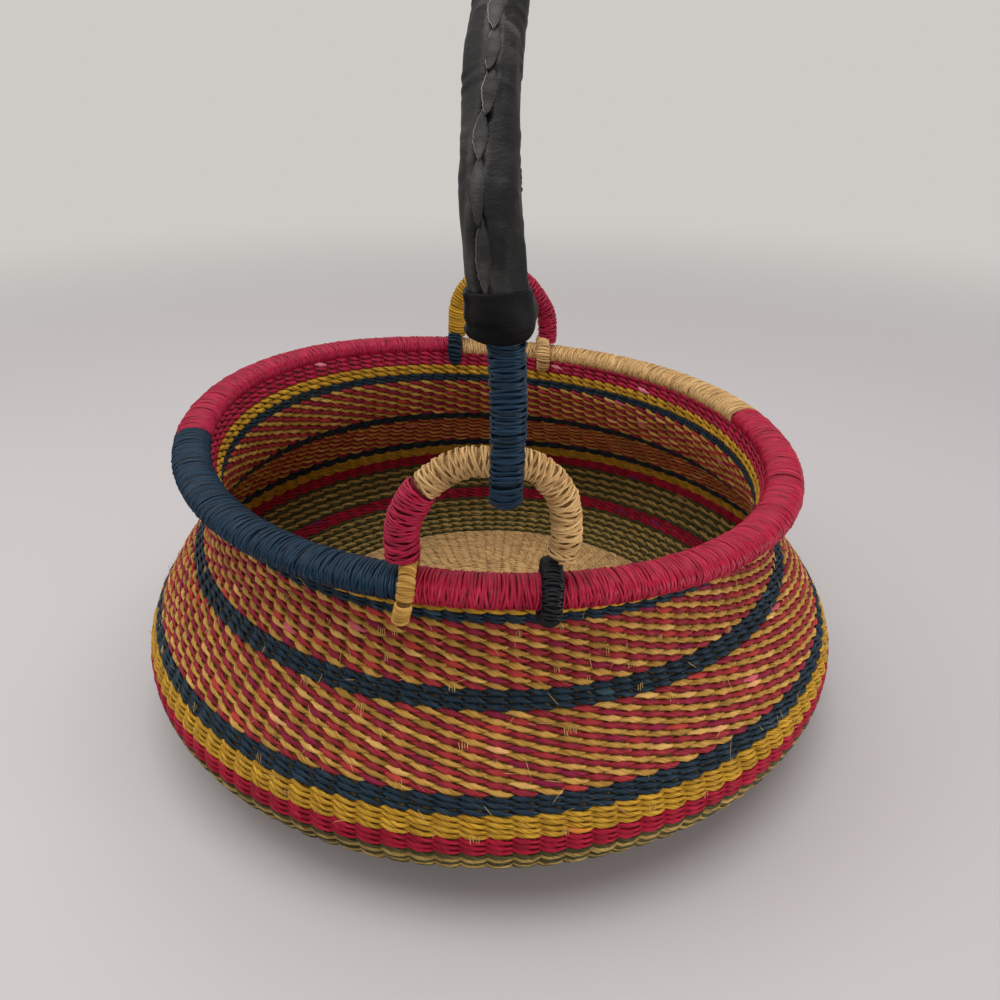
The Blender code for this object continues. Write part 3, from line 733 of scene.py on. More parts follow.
@dataclass
class WovenBody:
    """The stakes, the twined rows of the wall and floor, and the flat base.

    A length is measured down the wall from the rim, and on along the floor to the base's middle.
    """

    top: tuple[float, float] = (0.1635, 0.1507)
    base_stations: tuple[tuple[float, float], ...] = ((0.135, 0.0), (0.1, 0.0), (0.0, 0.0))
    cuts: int = 24
    stakes: int = 110
    wall_middle: float = 0.0028
    swing: float = 0.0018
    lift: float = 0.0011
    half_width: float = 0.00176
    half_depth: float = 0.00098
    pinch: float = 0.82
    usual_pitch: float = 0.00305
    most_room: float = 1.05
    uneven_width: float = 0.07
    uneven_stand: float = 0.00012
    uneven_lift: float = 0.0001
    uneven_row: float = 0.00014
    row_knots: int = 40
    odd_share: float = 0.01
    points_a_stake: int = 6
    most_rows: int = 12
    base_swing: float = 0.0012
    base_pitch: float = 0.003
    base_points: int = 5
    base_rings: tuple[tuple[float, int], ...] = ((0.1, 110), (0.05, 56), (0.025, 28), (0.006, 14))
    stake_share: float = 0.5
    stake_step: float = 0.004
    stake_widths: tuple[float, float] = (0.0006, 0.0065)
    stake_half_depth: float = 0.0009
    line: Array = field(init=False)
    outward: Array = field(init=False)
    length: Array = field(init=False)
    marks: Array = field(init=False)
    base_start: float = field(init=False)
    base_radius: float = field(init=False)

    def __post_init__(self) -> None:
        """Works out the line along the middle of the wall, from the rim to the base's middle."""
        stations = [self.top]
        for stripe in STRIPES:
            stations += stripe.ends
        base = len(stations) - 1
        outline = smooth_curve(stations + list(self.base_stations), self.cuts)
        way = unit(np.gradient(outline, axis=0))
        self.outward = np.stack([-way[:, 1], way[:, 0]], -1)
        self.line = outline - self.outward * self.wall_middle
        self.length = run_length(self.line)
        self.marks = self.length[::self.cuts]
        self.base_start = float(self.marks[base])
        self.base_radius = float(self.line[base * self.cuts, 0])

    def at(self, length: Array) -> tuple[Array, Array, Array]:
        """The wall's middle, its outward direction and its upward one at a length from the rim."""
        out = unit(sampled(length, self.length, self.outward))
        up = np.stack([-out[..., 1], out[..., 0]], -1)
        return sampled(length, self.length, self.line), out, up

    def on_wall(self, length: Array, turn: Array, outward: Array, upward: Array) -> Array:
        """Points near the wall, by length from the rim, turn and how far out and up they stand."""
        spot, out, up = self.at(length)
        flat = spot + out * np.asarray(outward)[..., None] + up * np.asarray(upward)[..., None]
        x, y = flat[..., 0] * np.cos(turn), flat[..., 0] * np.sin(turn)
        return SWAY.move(np.stack([x, y, flat[..., 1]], -1))

    def row(self, mesh: StrandMesh, length: float, kind: RowKind, number: int, pitch: float,
            stakes: int, points: int, swing: float) -> None:
        """Adds one twined row.

        Args:
            mesh: the piece that it belongs to.
            length: how far below the rim it lies.
            kind: its finishes and how it steps.
            number: its place among the rows of its stripe.
            pitch: the room that it has.
            stakes: how many stakes it passes.
            points: how many points it has for each stake.
            swing: how far its strands pass in front of and behind the wall's middle.
        """
        rng = mesh.rng
        count = stakes * points
        *finishes, steps_over = kind.value
        turn = TURN * np.arange(count) / count
        phase = stakes * turn / 2 + (math.pi * (number % 2) if steps_over else 0)
        room = min(pitch / self.usual_pitch, self.most_room)
        knots = np.linspace(0, TURN, self.row_knots + 1)
        sag = np.interp(turn, knots, self._ring_wander(rng, self.row_knots, self.uneven_row))
        for hand, finish in enumerate(finishes):
            swing_at = phase + math.pi * hand
            out_share, up_share = np.cos(swing_at), -np.sin(swing_at)
            dash = np.floor((swing_at + math.pi / 2) / math.pi).astype(int) % stakes
            width = rng.normal(1, self.uneven_width, stakes)[dash]
            stand = rng.normal(0, self.uneven_stand, stakes)[dash] * np.abs(out_share)
            shift = rng.normal(0, self.uneven_lift, stakes)[dash] * np.abs(out_share)
            outward = swing * out_share + stand
            upward = self.lift * room * up_share + shift + sag
            line = self.on_wall(np.full(count, length), turn, outward, upward)
            lean_out, lean_up = out_share / swing, up_share / self.lift
            size = np.hypot(lean_out, lean_up)
            away = self.on_wall(np.full(count, length), turn, outward + lean_out / size * STEP_OUT,
                                upward + lean_up / size * STEP_OUT) - line
            pinched = self.pinch + (1 - self.pinch) * np.abs(out_share)
            tone = np.clip(rng.normal(0.5, 0.2, stakes), 0.02, PALEST_TONE)
            tone[rng.random(stakes) > 1 - self.odd_share] = ODD_TONE
            mesh.add(line[None], away[None], (self.half_width * room * pinched * width)[None],
                     self.half_depth, finish, tone[dash][None], True, 10 * points)

    @staticmethod
    def _ring_wander(rng: np.random.Generator, knots: int, size: float) -> Array:
        """Random values round a ring, the last like the first."""
        values = rng.normal(0, size, knots + 1)
        values[-1] = values[0]
        return values

    def build_stripes(self) -> None:
        """Makes each coloured stripe, a stripe of many rows as two pieces."""
        first = 0
        for order, stripe in enumerate(STRIPES):
            last = first + len(stripe.ends)
            top, bottom = self.marks[first], self.marks[last]
            rows = len(stripe.rows)
            pitch = (bottom - top) / rows
            finishes = sorted({name for kind in stripe.rows for name in kind.value[:2]})
            most = math.ceil(rows / 2) if rows > self.most_rows else rows
            for part in range(math.ceil(rows / most)):
                suffix = f"_{part + 1}" if most < rows else ""
                mesh = StrandMesh(f"weave_{stripe.node}{suffix}", finishes, 100 + order + 50 * part)
                for number in range(part * most, min((part + 1) * most, rows)):
                    self.row(mesh, top + (number + 0.5) * pitch, stripe.rows[number], number, pitch,
                             self.stakes, self.points_a_stake, self.swing)
                settle(mesh.build(), BASKET, stripe.slot, stripe.node)
            first = last

    def build_base(self) -> None:
        """Makes the flat base, whose stakes thin out towards its middle."""
        outer = self.base_radius
        for order, (inner, stakes) in enumerate(self.base_rings):
            mesh = StrandMesh(f"weave_base_{order + 1}", ["natural"], 300 + order)
            rows = max(round((outer - inner) / self.base_pitch), 1)
            pitch = (outer - inner) / rows
            for number in range(rows):
                radius = outer - (number + 0.5) * pitch
                length = self.base_start + self.base_radius - radius
                self.row(mesh, length, RowKind.NATURAL, number, pitch, stakes, self.base_points,
                         self.base_swing)
            settle(mesh.build(), BASKET, "natural_weave", "base_disc")
            outer = inner

    def build_stakes(self) -> None:
        """Makes the straw stakes that every row twines round."""
        mesh = StrandMesh("stakes", ["stake"], 400, sides=8)
        ends = [self.base_start + self.base_radius - radius for radius, _ in self.base_rings]
        for start, end, (_, stakes) in zip([0.0] + ends, ends, self.base_rings):
            count = max(round((end - start) / self.stake_step), 4)
            length = np.linspace(start, end, count)[None].repeat(stakes, 0)
            turn = (TURN * np.arange(stakes) / stakes)[:, None].repeat(count, 1)
            middle = np.zeros_like(length)
            line = self.on_wall(length, turn, middle, middle)
            away = self.on_wall(length, turn, middle + STEP_OUT, middle) - line
            radius = np.interp(length, self.length, self.line[:, 0])
            wide = np.clip(TURN * radius / stakes * self.stake_share, *self.stake_widths)
            # The stakes wear the darkened stake finish, partly painted shade in the gaps between
            # strands
            mesh.add(line, away, wide, np.minimum(self.stake_half_depth, wide), "stake",
                     np.clip(mesh.rng.normal(0.4, 0.15, (stakes, 1)), 0, 0.9))
        settle(mesh.build(), BASKET, "straw_core")

    def build(self) -> None:
        """Makes the whole body."""
        self.build_stripes()
        self.build_base()
        self.build_stakes()


# Things wound with grass


@dataclass
class Spine:
    """A line that grass is wound round, with the two directions of its section at each point."""

    points: Array
    across: Array
    above: Array

    def __post_init__(self) -> None:
        """Measures the line."""
        self.length = run_length(self.points)

    @property
    def total(self) -> float:
        """Its whole length."""
        return float(self.length[-1])

    def at(self, length: Array) -> tuple[Array, Array, Array]:
        """The point, and the directions across and above, at a length."""
        point, across, above = (sampled(length, self.length, part)
                                for part in (self.points, self.across, self.above))
        return point, unit(across), unit(above)

    def sized(self, size: Any, length: Array) -> Array:
        """A size at each length, from one number or one for each point of the line."""
        if np.ndim(size):
            return np.interp(length, self.length, size)
        return np.full(len(length), float(size))


@dataclass(frozen=True)
class Winding:
    """How strands are wound: their pitch and size, how unevenly they lie and how each leans."""

    pitch: float
    half_width: float
    half_depth: float
    waver: float = 0.0003
    bulge: float = 0.00012
    slants: tuple[float, ...] = (0.0,)
    points: int = 14
    drift_knots: float = 1.6
    bulge_knots: float = 2.2
    width_knots: float = 1.3
    tone_knots: float = 1.1
    width_spread: float = 0.12
    width_limits: tuple[float, float] = (0.75, 1.3)
    tone_spread: float = 0.22
    end_inset: float = 0.3

    def wind(self, mesh: StrandMesh, spine: Spine, start: float, end: float,
             reach: tuple[Any, Any], finish: str) -> None:
        """Winds strands round part of a spine.

        Args:
            mesh: the piece that it belongs to.
            spine: the line that it goes round.
            start: where it starts along the spine.
            end: where it ends.
            reach: half the outer width and height of the wound section.
            finish: the strand's finish.
        """
        families = len(self.slants)
        rng = mesh.rng
        for order, slant in enumerate(self.slants):
            turns = max((end - start) / self.pitch / families, 1)
            count = int(turns * self.points) + 1
            phase = TURN * (turns * np.linspace(0, 1, count) + order / families)
            drift = wander(rng, count, turns * self.drift_knots, self.waver)
            swell = wander(rng, count, turns * self.bulge_knots, self.bulge)
            swell = np.clip(swell, -2.5 * self.bulge, 2 * self.bulge)
            length = np.linspace(start + self.half_width, end - self.half_width, count)
            inset = self.end_inset * self.half_width
            length = np.clip(length + drift + slant * np.sin(phase), start + inset, end - inset)
            middle, across, above = spine.at(length)
            wide, high = ((spine.sized(part, length) - self.half_depth)[:, None] for part in reach)
            cos, sin = np.cos(phase)[:, None], np.sin(phase)[:, None]
            out = unit(across * cos / wide + above * sin / high)
            line = middle + across * cos * wide + above * sin * high + out * swell[:, None]
            uneven = 1 + self.width_spread * wander(rng, count, turns * self.width_knots, 1.0)
            width = self.half_width * uneven.clip(*self.width_limits)
            tones = wander(rng, count, turns * self.tone_knots, self.tone_spread) + 0.5
            tones = np.clip(tones, 0.0, PALEST_TONE)
            mesh.add(line[None], out[None], width[None], self.half_depth, finish, tones[None],
                     cell_points=self.points * 3)


def bundle(mesh: StrandMesh, spine: Spine, start: float, end: float, reach: tuple[Any, Any],
           finish: str, cuts: int) -> None:
    """Adds the solid bundle under a winding, as one fat strand, at a low tone that paints shade on
    it.
    """
    length = np.linspace(start, end, cuts)
    middle, _, above = spine.at(length)
    wide, high = (spine.sized(part, length)[None] for part in reach)
    mesh.add(middle[None], above[None], wide, high, finish, PAINTED_SHADE_TONE)


@dataclass(frozen=True)
class RimLength:
    """One coloured length of the rim's wrap."""

    node: str
    slot: str
    finish: str
    start: float
    end: float


@dataclass
class Rim:
    """The straw rim and its coloured wrap."""

    radius: float = 0.168
    height: float = 0.1537
    half_width: float = 0.0102
    half_depth: float = 0.0066
    core_inset: float = 0.0022
    under_inset: float = 0.0009
    cuts: int = 400
    winding: Winding = Winding(0.0008, 0.00078, 0.00055, 0.0004, 0.00024, (0.0010, -0.0014))
    lengths: tuple[RimLength, ...] = (
        RimLength("rim_wrap_red", "red_wrap", "crimson", -100.3, 14.5),
        RimLength("rim_wrap_natural", "natural_wrap", "natural", 14.5, 98.0),
        RimLength("rim_wrap_magenta", "magenta_wrap", "magenta", 98.0, 188.5),
        RimLength("rim_wrap_navy", "navy_wrap", "navy", 188.5, 259.7),
    )

    def spine(self, start: float, end: float) -> Spine:
        """The rim's middle line between two angles in degrees."""
        turn = np.radians(np.linspace(start, end, self.cuts))
        flat = np.stack([np.cos(turn), np.sin(turn), np.zeros_like(turn)], -1)
        points = SWAY.move(flat * self.radius + [0, 0, self.height])
        return Spine(points, flat, np.tile([0.0, 0.0, 1.0], (self.cuts, 1)))

    def point(self, degrees: float) -> Array:
        """One point of the rim's middle line."""
        return self.spine(degrees, degrees + 1).points[0]

    def build(self) -> None:
        """Makes the core and each coloured length."""
        core = StrandMesh("rim_bundle", ["straw"], 500, sides=16)
        ring = self.spine(0, 360)
        core.add(ring.points[None, :-1], ring.above[None, :-1],
                 self.half_width - self.core_inset, self.half_depth - self.core_inset, "straw",
                 PAINTED_SHADE_TONE, True)
        settle(core.build(), BASKET, "straw_core", "rim_core")
        for order, part in enumerate(self.lengths):
            spine = self.spine(part.start, part.end)
            # The bundle under the wrap wears a darkened copy of its finish: painted shade between
            # the turns
            dark = f"{part.finish}_shade"
            under = StrandMesh(f"{part.node}_under", [dark], 520 + order, sides=16)
            bundle(under, spine, 0, spine.total,
                   (self.half_width - self.under_inset, self.half_depth - self.under_inset),
                   dark, 120)
            settle(under.build(), BASKET, part.slot, part.node)
            mesh = StrandMesh(f"{part.node}_strand", [part.finish], 510 + order, sides=5)
            self.winding.wind(mesh, spine, 0, spine.total, (self.half_width, self.half_depth),
                              part.finish)
            settle(mesh.build(), BASKET, part.slot, part.node)


@dataclass(frozen=True)
class Tie:
    """A bound cord that goes round the rim and holds a loop's foot."""

    name: str
    degrees: float
    finish: str
    slot: str
    winding: Winding
    half_width: float = 0.005
    drop: float = 0.0128
    lean: float = 0.0
    half_depth: float = 0.0032


@dataclass
class Ties:
    """The four ties."""

    rim: Rim
    reach_out: float = 0.0135
    reach_up: float = 0.0107
    squareness: float = 0.95
    under_inset: float = 0.001
    cuts: int = 160
    ties: tuple[Tie, ...] = (
        Tie("front_left_tie", -100.5, "yellow", "yellow_wrap",
            Winding(0.0025, 0.00146, 0.0009, 0.00012, 0.0001), 0.0039, 0.0148, -0.0046),
        Tie("front_right_tie", -80.35, "black", "navy_wrap",
            Winding(0.0009, 0.00062, 0.0006, 0.0004, 0.0002, (0.0016, -0.0009)), 0.0047, 0.0112,
            -0.0016),
        Tie("back_left_tie", 99.35, "navy", "navy_wrap",
            Winding(0.0015, 0.0009, 0.0007, 0.0003, 0.00014, (0.0006, -0.0008)), 0.0052),
        Tie("back_right_tie", 76.55, "natural", "natural_wrap",
            Winding(0.0022, 0.0012, 0.0008, 0.00025, 0.00012), 0.005),
    )

    def spine(self, tie: Tie) -> Spine:
        """The tie's ring round the rim."""
        middle = self.rim.point(tie.degrees)
        turn = math.radians(tie.degrees)
        out = np.array([0.0, math.copysign(1.0, math.sin(turn)), 0.0])
        along = np.array([-out[1], 0.0, 0.0])
        angle = np.linspace(0, TURN, self.cuts)[:, None]
        up = np.array([0.0, 0.0, 1.0])
        cos, sin = np.cos(angle), np.sin(angle)
        outward = np.sign(cos) * np.abs(cos) ** self.squareness
        upward = np.sign(sin) * np.abs(sin) ** self.squareness
        reach_up = np.where(sin > 0, self.reach_up, tie.drop)
        points = (middle + out * self.reach_out * outward + up * reach_up * upward
                  + along * tie.lean * ((1 - upward) / 2) ** 2)
        away = unit(out * outward / self.reach_out + up * upward / reach_up)
        return Spine(points, np.tile(along, (self.cuts, 1)), away)

    def build(self) -> None:
        """Makes each tie."""
        for order, tie in enumerate(self.ties):
            spine = self.spine(tie)
            mesh = StrandMesh(f"{tie.name}_wound", [tie.finish, f"{tie.finish}_shade"], 600 + order)
            tie.winding.wind(mesh, spine, 0, spine.total, (tie.half_width, tie.half_depth),
                             tie.finish)
            # The bundle under the winding wears a darkened copy of the finish: painted shade
            # between the turns
            bundle(mesh, spine, 0, spine.total,
                   (tie.half_width - self.under_inset, tie.half_depth - self.under_inset),
                   f"{tie.finish}_shade", 60)
            settle(mesh.build(), BASKET, tie.slot, tie.name)


class HingeFrame:
    """The line that the handle turns about, and the directions of the plane that it stands in."""

    def __init__(self) -> None:
        """Reads the joint and the loops from the frame."""
        joint = frame["record"]["behaviour"]["joints"][0]
        self.origin = np.array(joint["pos_m"], float)
        axis = np.array(joint["axis"], float)
        self.along = axis / np.linalg.norm(axis)
        self.across = np.array([self.along[1], -self.along[0], 0.0])
        self.up = np.array([0.0, 0.0, 1.0])
        middles = [(Vector(low) + Vector(high)) / 2
                   for low, high in map(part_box, ("front_loop_core", "back_loop_core"))]
        self.half_span = (middles[1] - middles[0]).xy.length / 2

    def world(self, x: Any, y: Any, z: Any) -> Array:
        """Points given across, along and above the hinge, in the world."""
        x, y, z = np.broadcast_arrays(x, y, z)
        return (self.origin + x[..., None] * self.across + y[..., None] * self.along
                + z[..., None] * self.up)


@dataclass(frozen=True)
class LoopLength:
    """One coloured length of a loop's wrap, from one angle to another."""

    node: str
    slot: str
    finish: str
    start: float
    end: float
    winding: Winding
    half: float


FRONT_ARCH = (
    (-0.0348, -0.0100), (-0.0347, -0.0003), (-0.0333, 0.0078), (-0.0299, 0.0156), (-0.0250, 0.0222),
    (-0.0180, 0.0284), (-0.0105, 0.0325), (-0.0006, 0.0341), (0.0090, 0.0341), (0.0165, 0.0326),
    (0.0221, 0.0292), (0.0264, 0.0248), (0.0294, 0.0203), (0.0312, 0.0132), (0.0321, 0.0030),
    (0.0317, -0.0045), (0.0301, -0.0088))
BACK_ARCH = (
    (-0.0332, -0.0160), (-0.0330, -0.0060), (-0.0315, 0.0080), (-0.0250, 0.0205), (-0.0150, 0.0285),
    (-0.0030, 0.0320), (0.0085, 0.0302), (0.0175, 0.0235), (0.0265, 0.0130), (0.0332, 0.0010),
    (0.0348, -0.0100), (0.0345, -0.0205))


@dataclass
class RimLoops:
    """The two straw arches that the handle's eyes hang in."""

    hinge: HingeFrame
    core: float = 0.0052
    natural: Winding = Winding(0.00108, 0.0007, 0.00065, 0.0006, 0.0003, (0.0018, -0.0012))
    pink: Winding = Winding(0.00092, 0.00062, 0.0006, 0.0005, 0.00024, (0.0009, -0.0014))
    yellow: Winding = Winding(0.0022, 0.0012, 0.0008, 0.0002, 0.00012, (0.0012,))
    under_inset: float = 0.0012
    cuts: int = 14

    def spine(self, side: str) -> tuple[Spine, Array]:
        """One arch, from its left foot over the top, and the angle at each of its points."""
        arch = smooth_curve(FRONT_ARCH if side == "front" else BACK_ARCH, self.cuts)
        y = -self.hinge.half_span if side == "front" else self.hinge.half_span
        points = self.hinge.world(arch[:, 0], y, arch[:, 1])
        way = unit(np.gradient(arch, axis=0))
        above = -way[:, 1:] * self.hinge.across + way[:, :1] * self.hinge.up
        degrees = np.degrees(np.arctan2(np.maximum(arch[:, 1], 0), arch[:, 0]))
        return Spine(points, np.tile(self.hinge.along, (len(arch), 1)), above), degrees

    def build(self) -> None:
        """Makes both loops."""
        lengths = {
            "front": (LoopLength("front_loop_wrap_pink", "magenta_wrap", "magenta", 180, 138,
                                 self.pink, 0.0075),
                      LoopLength("front_loop_wrap_natural", "natural_wrap", "natural", 138, 0,
                                 self.natural, 0.0065)),
            "back": (LoopLength("back_loop_wrap_yellow", "yellow_wrap", "gold", 180, 90,
                                self.yellow, 0.0067),
                     LoopLength("back_loop_wrap_pink", "magenta_wrap", "magenta", 90, 0,
                                self.pink, 0.0072)),
        }
        for order, (side, parts) in enumerate(lengths.items()):
            spine, degrees = self.spine(side)
            core = StrandMesh(f"{side}_loop_bundle", ["straw"], 700 + order, sides=12)
            bundle(core, spine, 0, spine.total, (self.core, self.core), "straw", 90)
            settle(core.build(), BASKET, "straw_core", f"{side}_loop_core")
            for place, part in enumerate(parts):
                start = 0.0 if part.start >= 180 else self._mark(spine, degrees, part.start)
                end = spine.total if part.end <= 0 else self._mark(spine, degrees, part.end)
                # The bundle under each winding wears a darkened copy of its finish: painted shade
                # between the turns
                dark = f"{part.finish}_shade"
                mesh = StrandMesh(f"{part.node}_strand", [part.finish, dark],
                                  710 + 10 * order + place)
                part.winding.wind(mesh, spine, start, end, (part.half, part.half), part.finish)
                bundle(mesh, spine, start, end, (part.half - self.under_inset,) * 2, dark, 60)
                settle(mesh.build(), BASKET, part.slot, part.node)

    @staticmethod
    def _mark(spine: Spine, degrees: Array, wanted: float) -> float:
        """The length along an arch at an angle."""
        return float(np.interp(-wanted, -degrees, spine.length))


# The handle


@dataclass(frozen=True)
class Ripples:
    """Waves of chance that run round a sleeve and meet there."""

    waves: int
    sizes: tuple[float, float]
    most_around: int
    height: float

    def over(self, rng: np.random.Generator, length: Array, share: Array) -> Array:
        """Their height.

        Args:
            rng: the source of chance.
            length: each point's place along the sleeve.
            share: its place round the sleeve.

        Returns:
            The height at each point.
        """
        total = np.zeros_like(length)
        for _ in range(self.waves):
            size = math.exp(rng.uniform(*np.log(self.sizes)))
            turns = rng.integers(-self.most_around, self.most_around + 1)
            phase = rng.uniform(0, TURN)
            total += np.sin(TURN * (length / size + turns * share) + phase)
        return total * self.height * math.sqrt(2 / self.waves) * 1.6


@dataclass
class Handle:
    """The eyes, the leather sleeve, its cuffs and its thong.

    Heights are above the hinge, and a length is measured along the grip from its front foot.
    """

    hinge: HingeFrame
    slide: float = 0.0058
    drift_at: tuple[float, ...] = (
        0.0, 0.012, 0.021, 0.036, 0.046, 0.065, 0.086, 0.108, 0.126, 0.165)
    drift_by: tuple[float, ...] = (
        -0.0004, -0.0005, -0.0024, -0.0036, -0.0044, -0.0051, -0.0052, -0.0044, -0.0022, 0.0)
    back_shift: float = -0.0044
    back_shift_at: tuple[float, float] = (0.126, 0.2)
    eye_lean: tuple[float, ...] = (0.0018, 0.0027, 0.0013)
    lean_height: float = 0.058
    bend: float = 0.0142
    bend_height: float = 0.0332
    close: float = 0.0073
    tucked: float = 0.004
    cuff_foot: float = 0.0845
    cuff_length: float = 0.0165
    cuff_thick: float = 0.0019
    cuff_tuck: float = 0.0055
    cuff_edge: float = 0.001
    cuff_sunk: float = 0.0024
    cuff_lift: float = -0.0003
    lap_start: float = 0.86
    rise: float = 0.247
    arch_shares: tuple[tuple[float, float], ...] = (
        (0.966, 0.14), (0.885, 0.266), (0.62, 0.583), (0.33, 0.862), (0.0, 1.0))
    bend_reach: tuple[float, float] = (0.0064, 0.0039)
    leg_reach: tuple[float, float] = (0.0069, 0.0064)
    under_inset: float = 0.0009
    straw_inset: float = 0.0025
    half_width: float = 0.0105
    full_depth: float = 0.0167
    slim_depth: float = 0.012
    taper: float = 0.09
    winding: Winding = Winding(0.0011, 0.00076, 0.00062, 0.0006, 0.00028, (0.0014, -0.0012), 16)
    sleeve_inset: float = 0.0075
    bumps: Ripples = Ripples(30, (0.03, 0.16), 7, 0.00017)
    folds: Ripples = Ripples(40, (0.005, 0.014), 4, 0.00006)
    fold_places: Ripples = Ripples(12, (0.02, 0.07), 3, 0.5)
    cuff_lumps: Ripples = Ripples(24, (0.014, 0.05), 4, 0.00026)
    cuff_creases: Ripples = Ripples(30, (0.003, 0.01), 6, 0.00005)
    seam_side: float = 0.0042
    seam_from: float = 0.036
    seam_over: float = 0.05
    seam_depth: float = 0.0011
    slit_depth: float = 0.0012
    thong_pitch: float = 0.0175
    thong_half: float = 0.0023
    thong_thick: float = 0.0007

    def eye_spine(self, toward: float) -> Spine:
        """The line of an eye, down its outer leg, round its bend and up its inner leg."""
        share = np.linspace(0, 1, 60)
        stand = self.bend + (self.close - self.bend) * ease(share)
        height = self.bend_height + (self.cuff_foot + self.tucked - self.bend_height) * share
        leg = np.stack([stand, height], -1)
        turn = np.linspace(0, -math.pi, 60)[1:-1]
        bend = np.stack([self.bend * np.cos(turn), self.bend_height + self.bend * np.sin(turn)], -1)
        line = np.vstack([leg[::-1], bend, leg * [-1, 1]])
        way = unit(np.gradient(line, axis=0))
        away = np.stack([-way[:, 1], way[:, 0]], -1)
        y = toward * (self.hinge.half_span + line[:, 0])
        marks = (self.bend_height - self.bend, self.lean_height, self.cuff_foot)
        lean = np.interp(line[:, 1], marks, self.eye_lean)
        lean = lean + (self.back_shift if toward > 0 else 0.0)
        points = self.hinge.world(self.slide + lean, y, line[:, 1])
        above = away[:, :1] * self.hinge.along * toward + away[:, 1:] * self.hinge.up
        return Spine(points, np.tile(self.hinge.across, (len(line), 1)), above)

    def eye_reach(self, spine: Spine, inset: float) -> tuple[Array, ...]:
        """Half an eye's width and depth along its line, flatter where it bears on its loop."""
        from_bend = np.linspace(-1, 1, len(spine.points)) ** 2
        share = ease((from_bend - 0.1) / 0.3)
        return tuple(bend + (leg - bend) * share - inset
                     for bend, leg in zip(self.bend_reach, self.leg_reach))

    def build_eyes(self) -> None:
        """Makes the two wound eyes."""
        for order, (side, toward) in enumerate((("front", -1.0), ("back", 1.0))):
            spine = self.eye_spine(toward)
            mesh = StrandMesh(f"{side}_eye_strand", ["navy", "navy_shade"], 800 + order)
            self.winding.wind(mesh, spine, 0, spine.total, self.eye_reach(spine, 0.0), "navy")
            # The bundle under the winding wears darkened navy: painted shade between the turns
            bundle(mesh, spine, 0, spine.total, self.eye_reach(spine, self.under_inset),
                   "navy_shade", 90)
            settle(mesh.build(), HANDLE, "navy_wrap", f"{side}_eye_outer_wrap",
                   f"{side}_eye_inner_wrap")

    def arch(self) -> tuple[Array, Array, Array]:
        """The grip's middle line, its outward direction and its length, in the hinge's plane."""
        half, top = self.hinge.half_span, self.cuff_foot + self.cuff_length
        stations = [(-half, self.cuff_foot), (-half, top)]
        stations += [(-half * out, top + (self.rise - top) * up) for out, up in self.arch_shares]
        stations += [(-y, z) for y, z in stations[-2::-1]]
        line = smooth_curve(stations, 40)
        way = unit(np.gradient(line, axis=0))
        return line, np.stack([-way[:, 1], way[:, 0]], -1), run_length(line)

    def depth(self, length: Array, total: float) -> Array:
        """Half the grip's depth along it."""
        ends = np.minimum(length, total - length)
        slim = ease((ends - self.cuff_length) / self.taper)
        return self.full_depth + (self.slim_depth - self.full_depth) * slim

    def section(self, share: Array, half_width: Array, half_depth: Array) -> tuple[Array, ...]:
        """A point round the grip's section, by its share of the way round from the outer face.

        Args:
            share: from 0 to 1.
            half_width: half its width.
            half_depth: half its depth, at least as much.

        Returns:
            The place across and outward, and the section's own outward direction in both.
        """
        flat = 2 * (half_depth - half_width)
        around = TURN * half_width + 2 * flat
        at = share * around
        quarter = TURN / 4 * half_width
        first = np.minimum(at, quarter) / half_width
        side = np.clip(at - quarter, 0, flat)
        second = np.clip(at - quarter - flat, 0, 2 * quarter) / half_width
        other = np.clip(at - 3 * quarter - flat, 0, flat)
        third = np.maximum(at - 3 * quarter - 2 * flat, 0) / half_width
        angle = first + second + third
        middle = (half_depth - half_width) - side + other
        sin, cos = np.sin(angle), np.cos(angle)
        return half_width * sin, middle + half_width * cos, sin, cos

    def surface(self, length: Array, share: Array, proud: Any) -> Array:
        """Points on the grip.

        Args:
            length: how far along the grip.
            share: how far round its section.
            proud: how far the surface stands off the leather's own.

        Returns:
            The points, in the world.
        """
        line, outward, run = self.arch()
        depth = self.depth(length, run[-1])
        across, away, lean_across, lean_away = self.section(
            share % 1, np.broadcast_to(self.half_width, depth.shape), depth)
        drift = (np.interp(length, self.drift_at, self.drift_by)
                 + np.interp(run[-1] - length, self.back_shift_at, (self.back_shift, 0.0)))
        across = across + lean_across * proud + drift
        away = away + lean_away * proud
        spot = sampled(length, run, line) + sampled(length, run, outward) * away[..., None]
        return self.hinge.world(self.slide + across, spot[..., 0], spot[..., 1])

    def seam_at(self, length: Array, total: float) -> Array:
        """Where the seam lies across the outer face: left of the middle near the cuffs."""
        ends = np.minimum(length, total - length)
        side = np.where(length < total / 2, -1.0, 1.0) * self.seam_side
        return (side * (1 - ease((ends - self.seam_from) / self.seam_over))
                + 0.0004 * np.sin(length / 0.013))

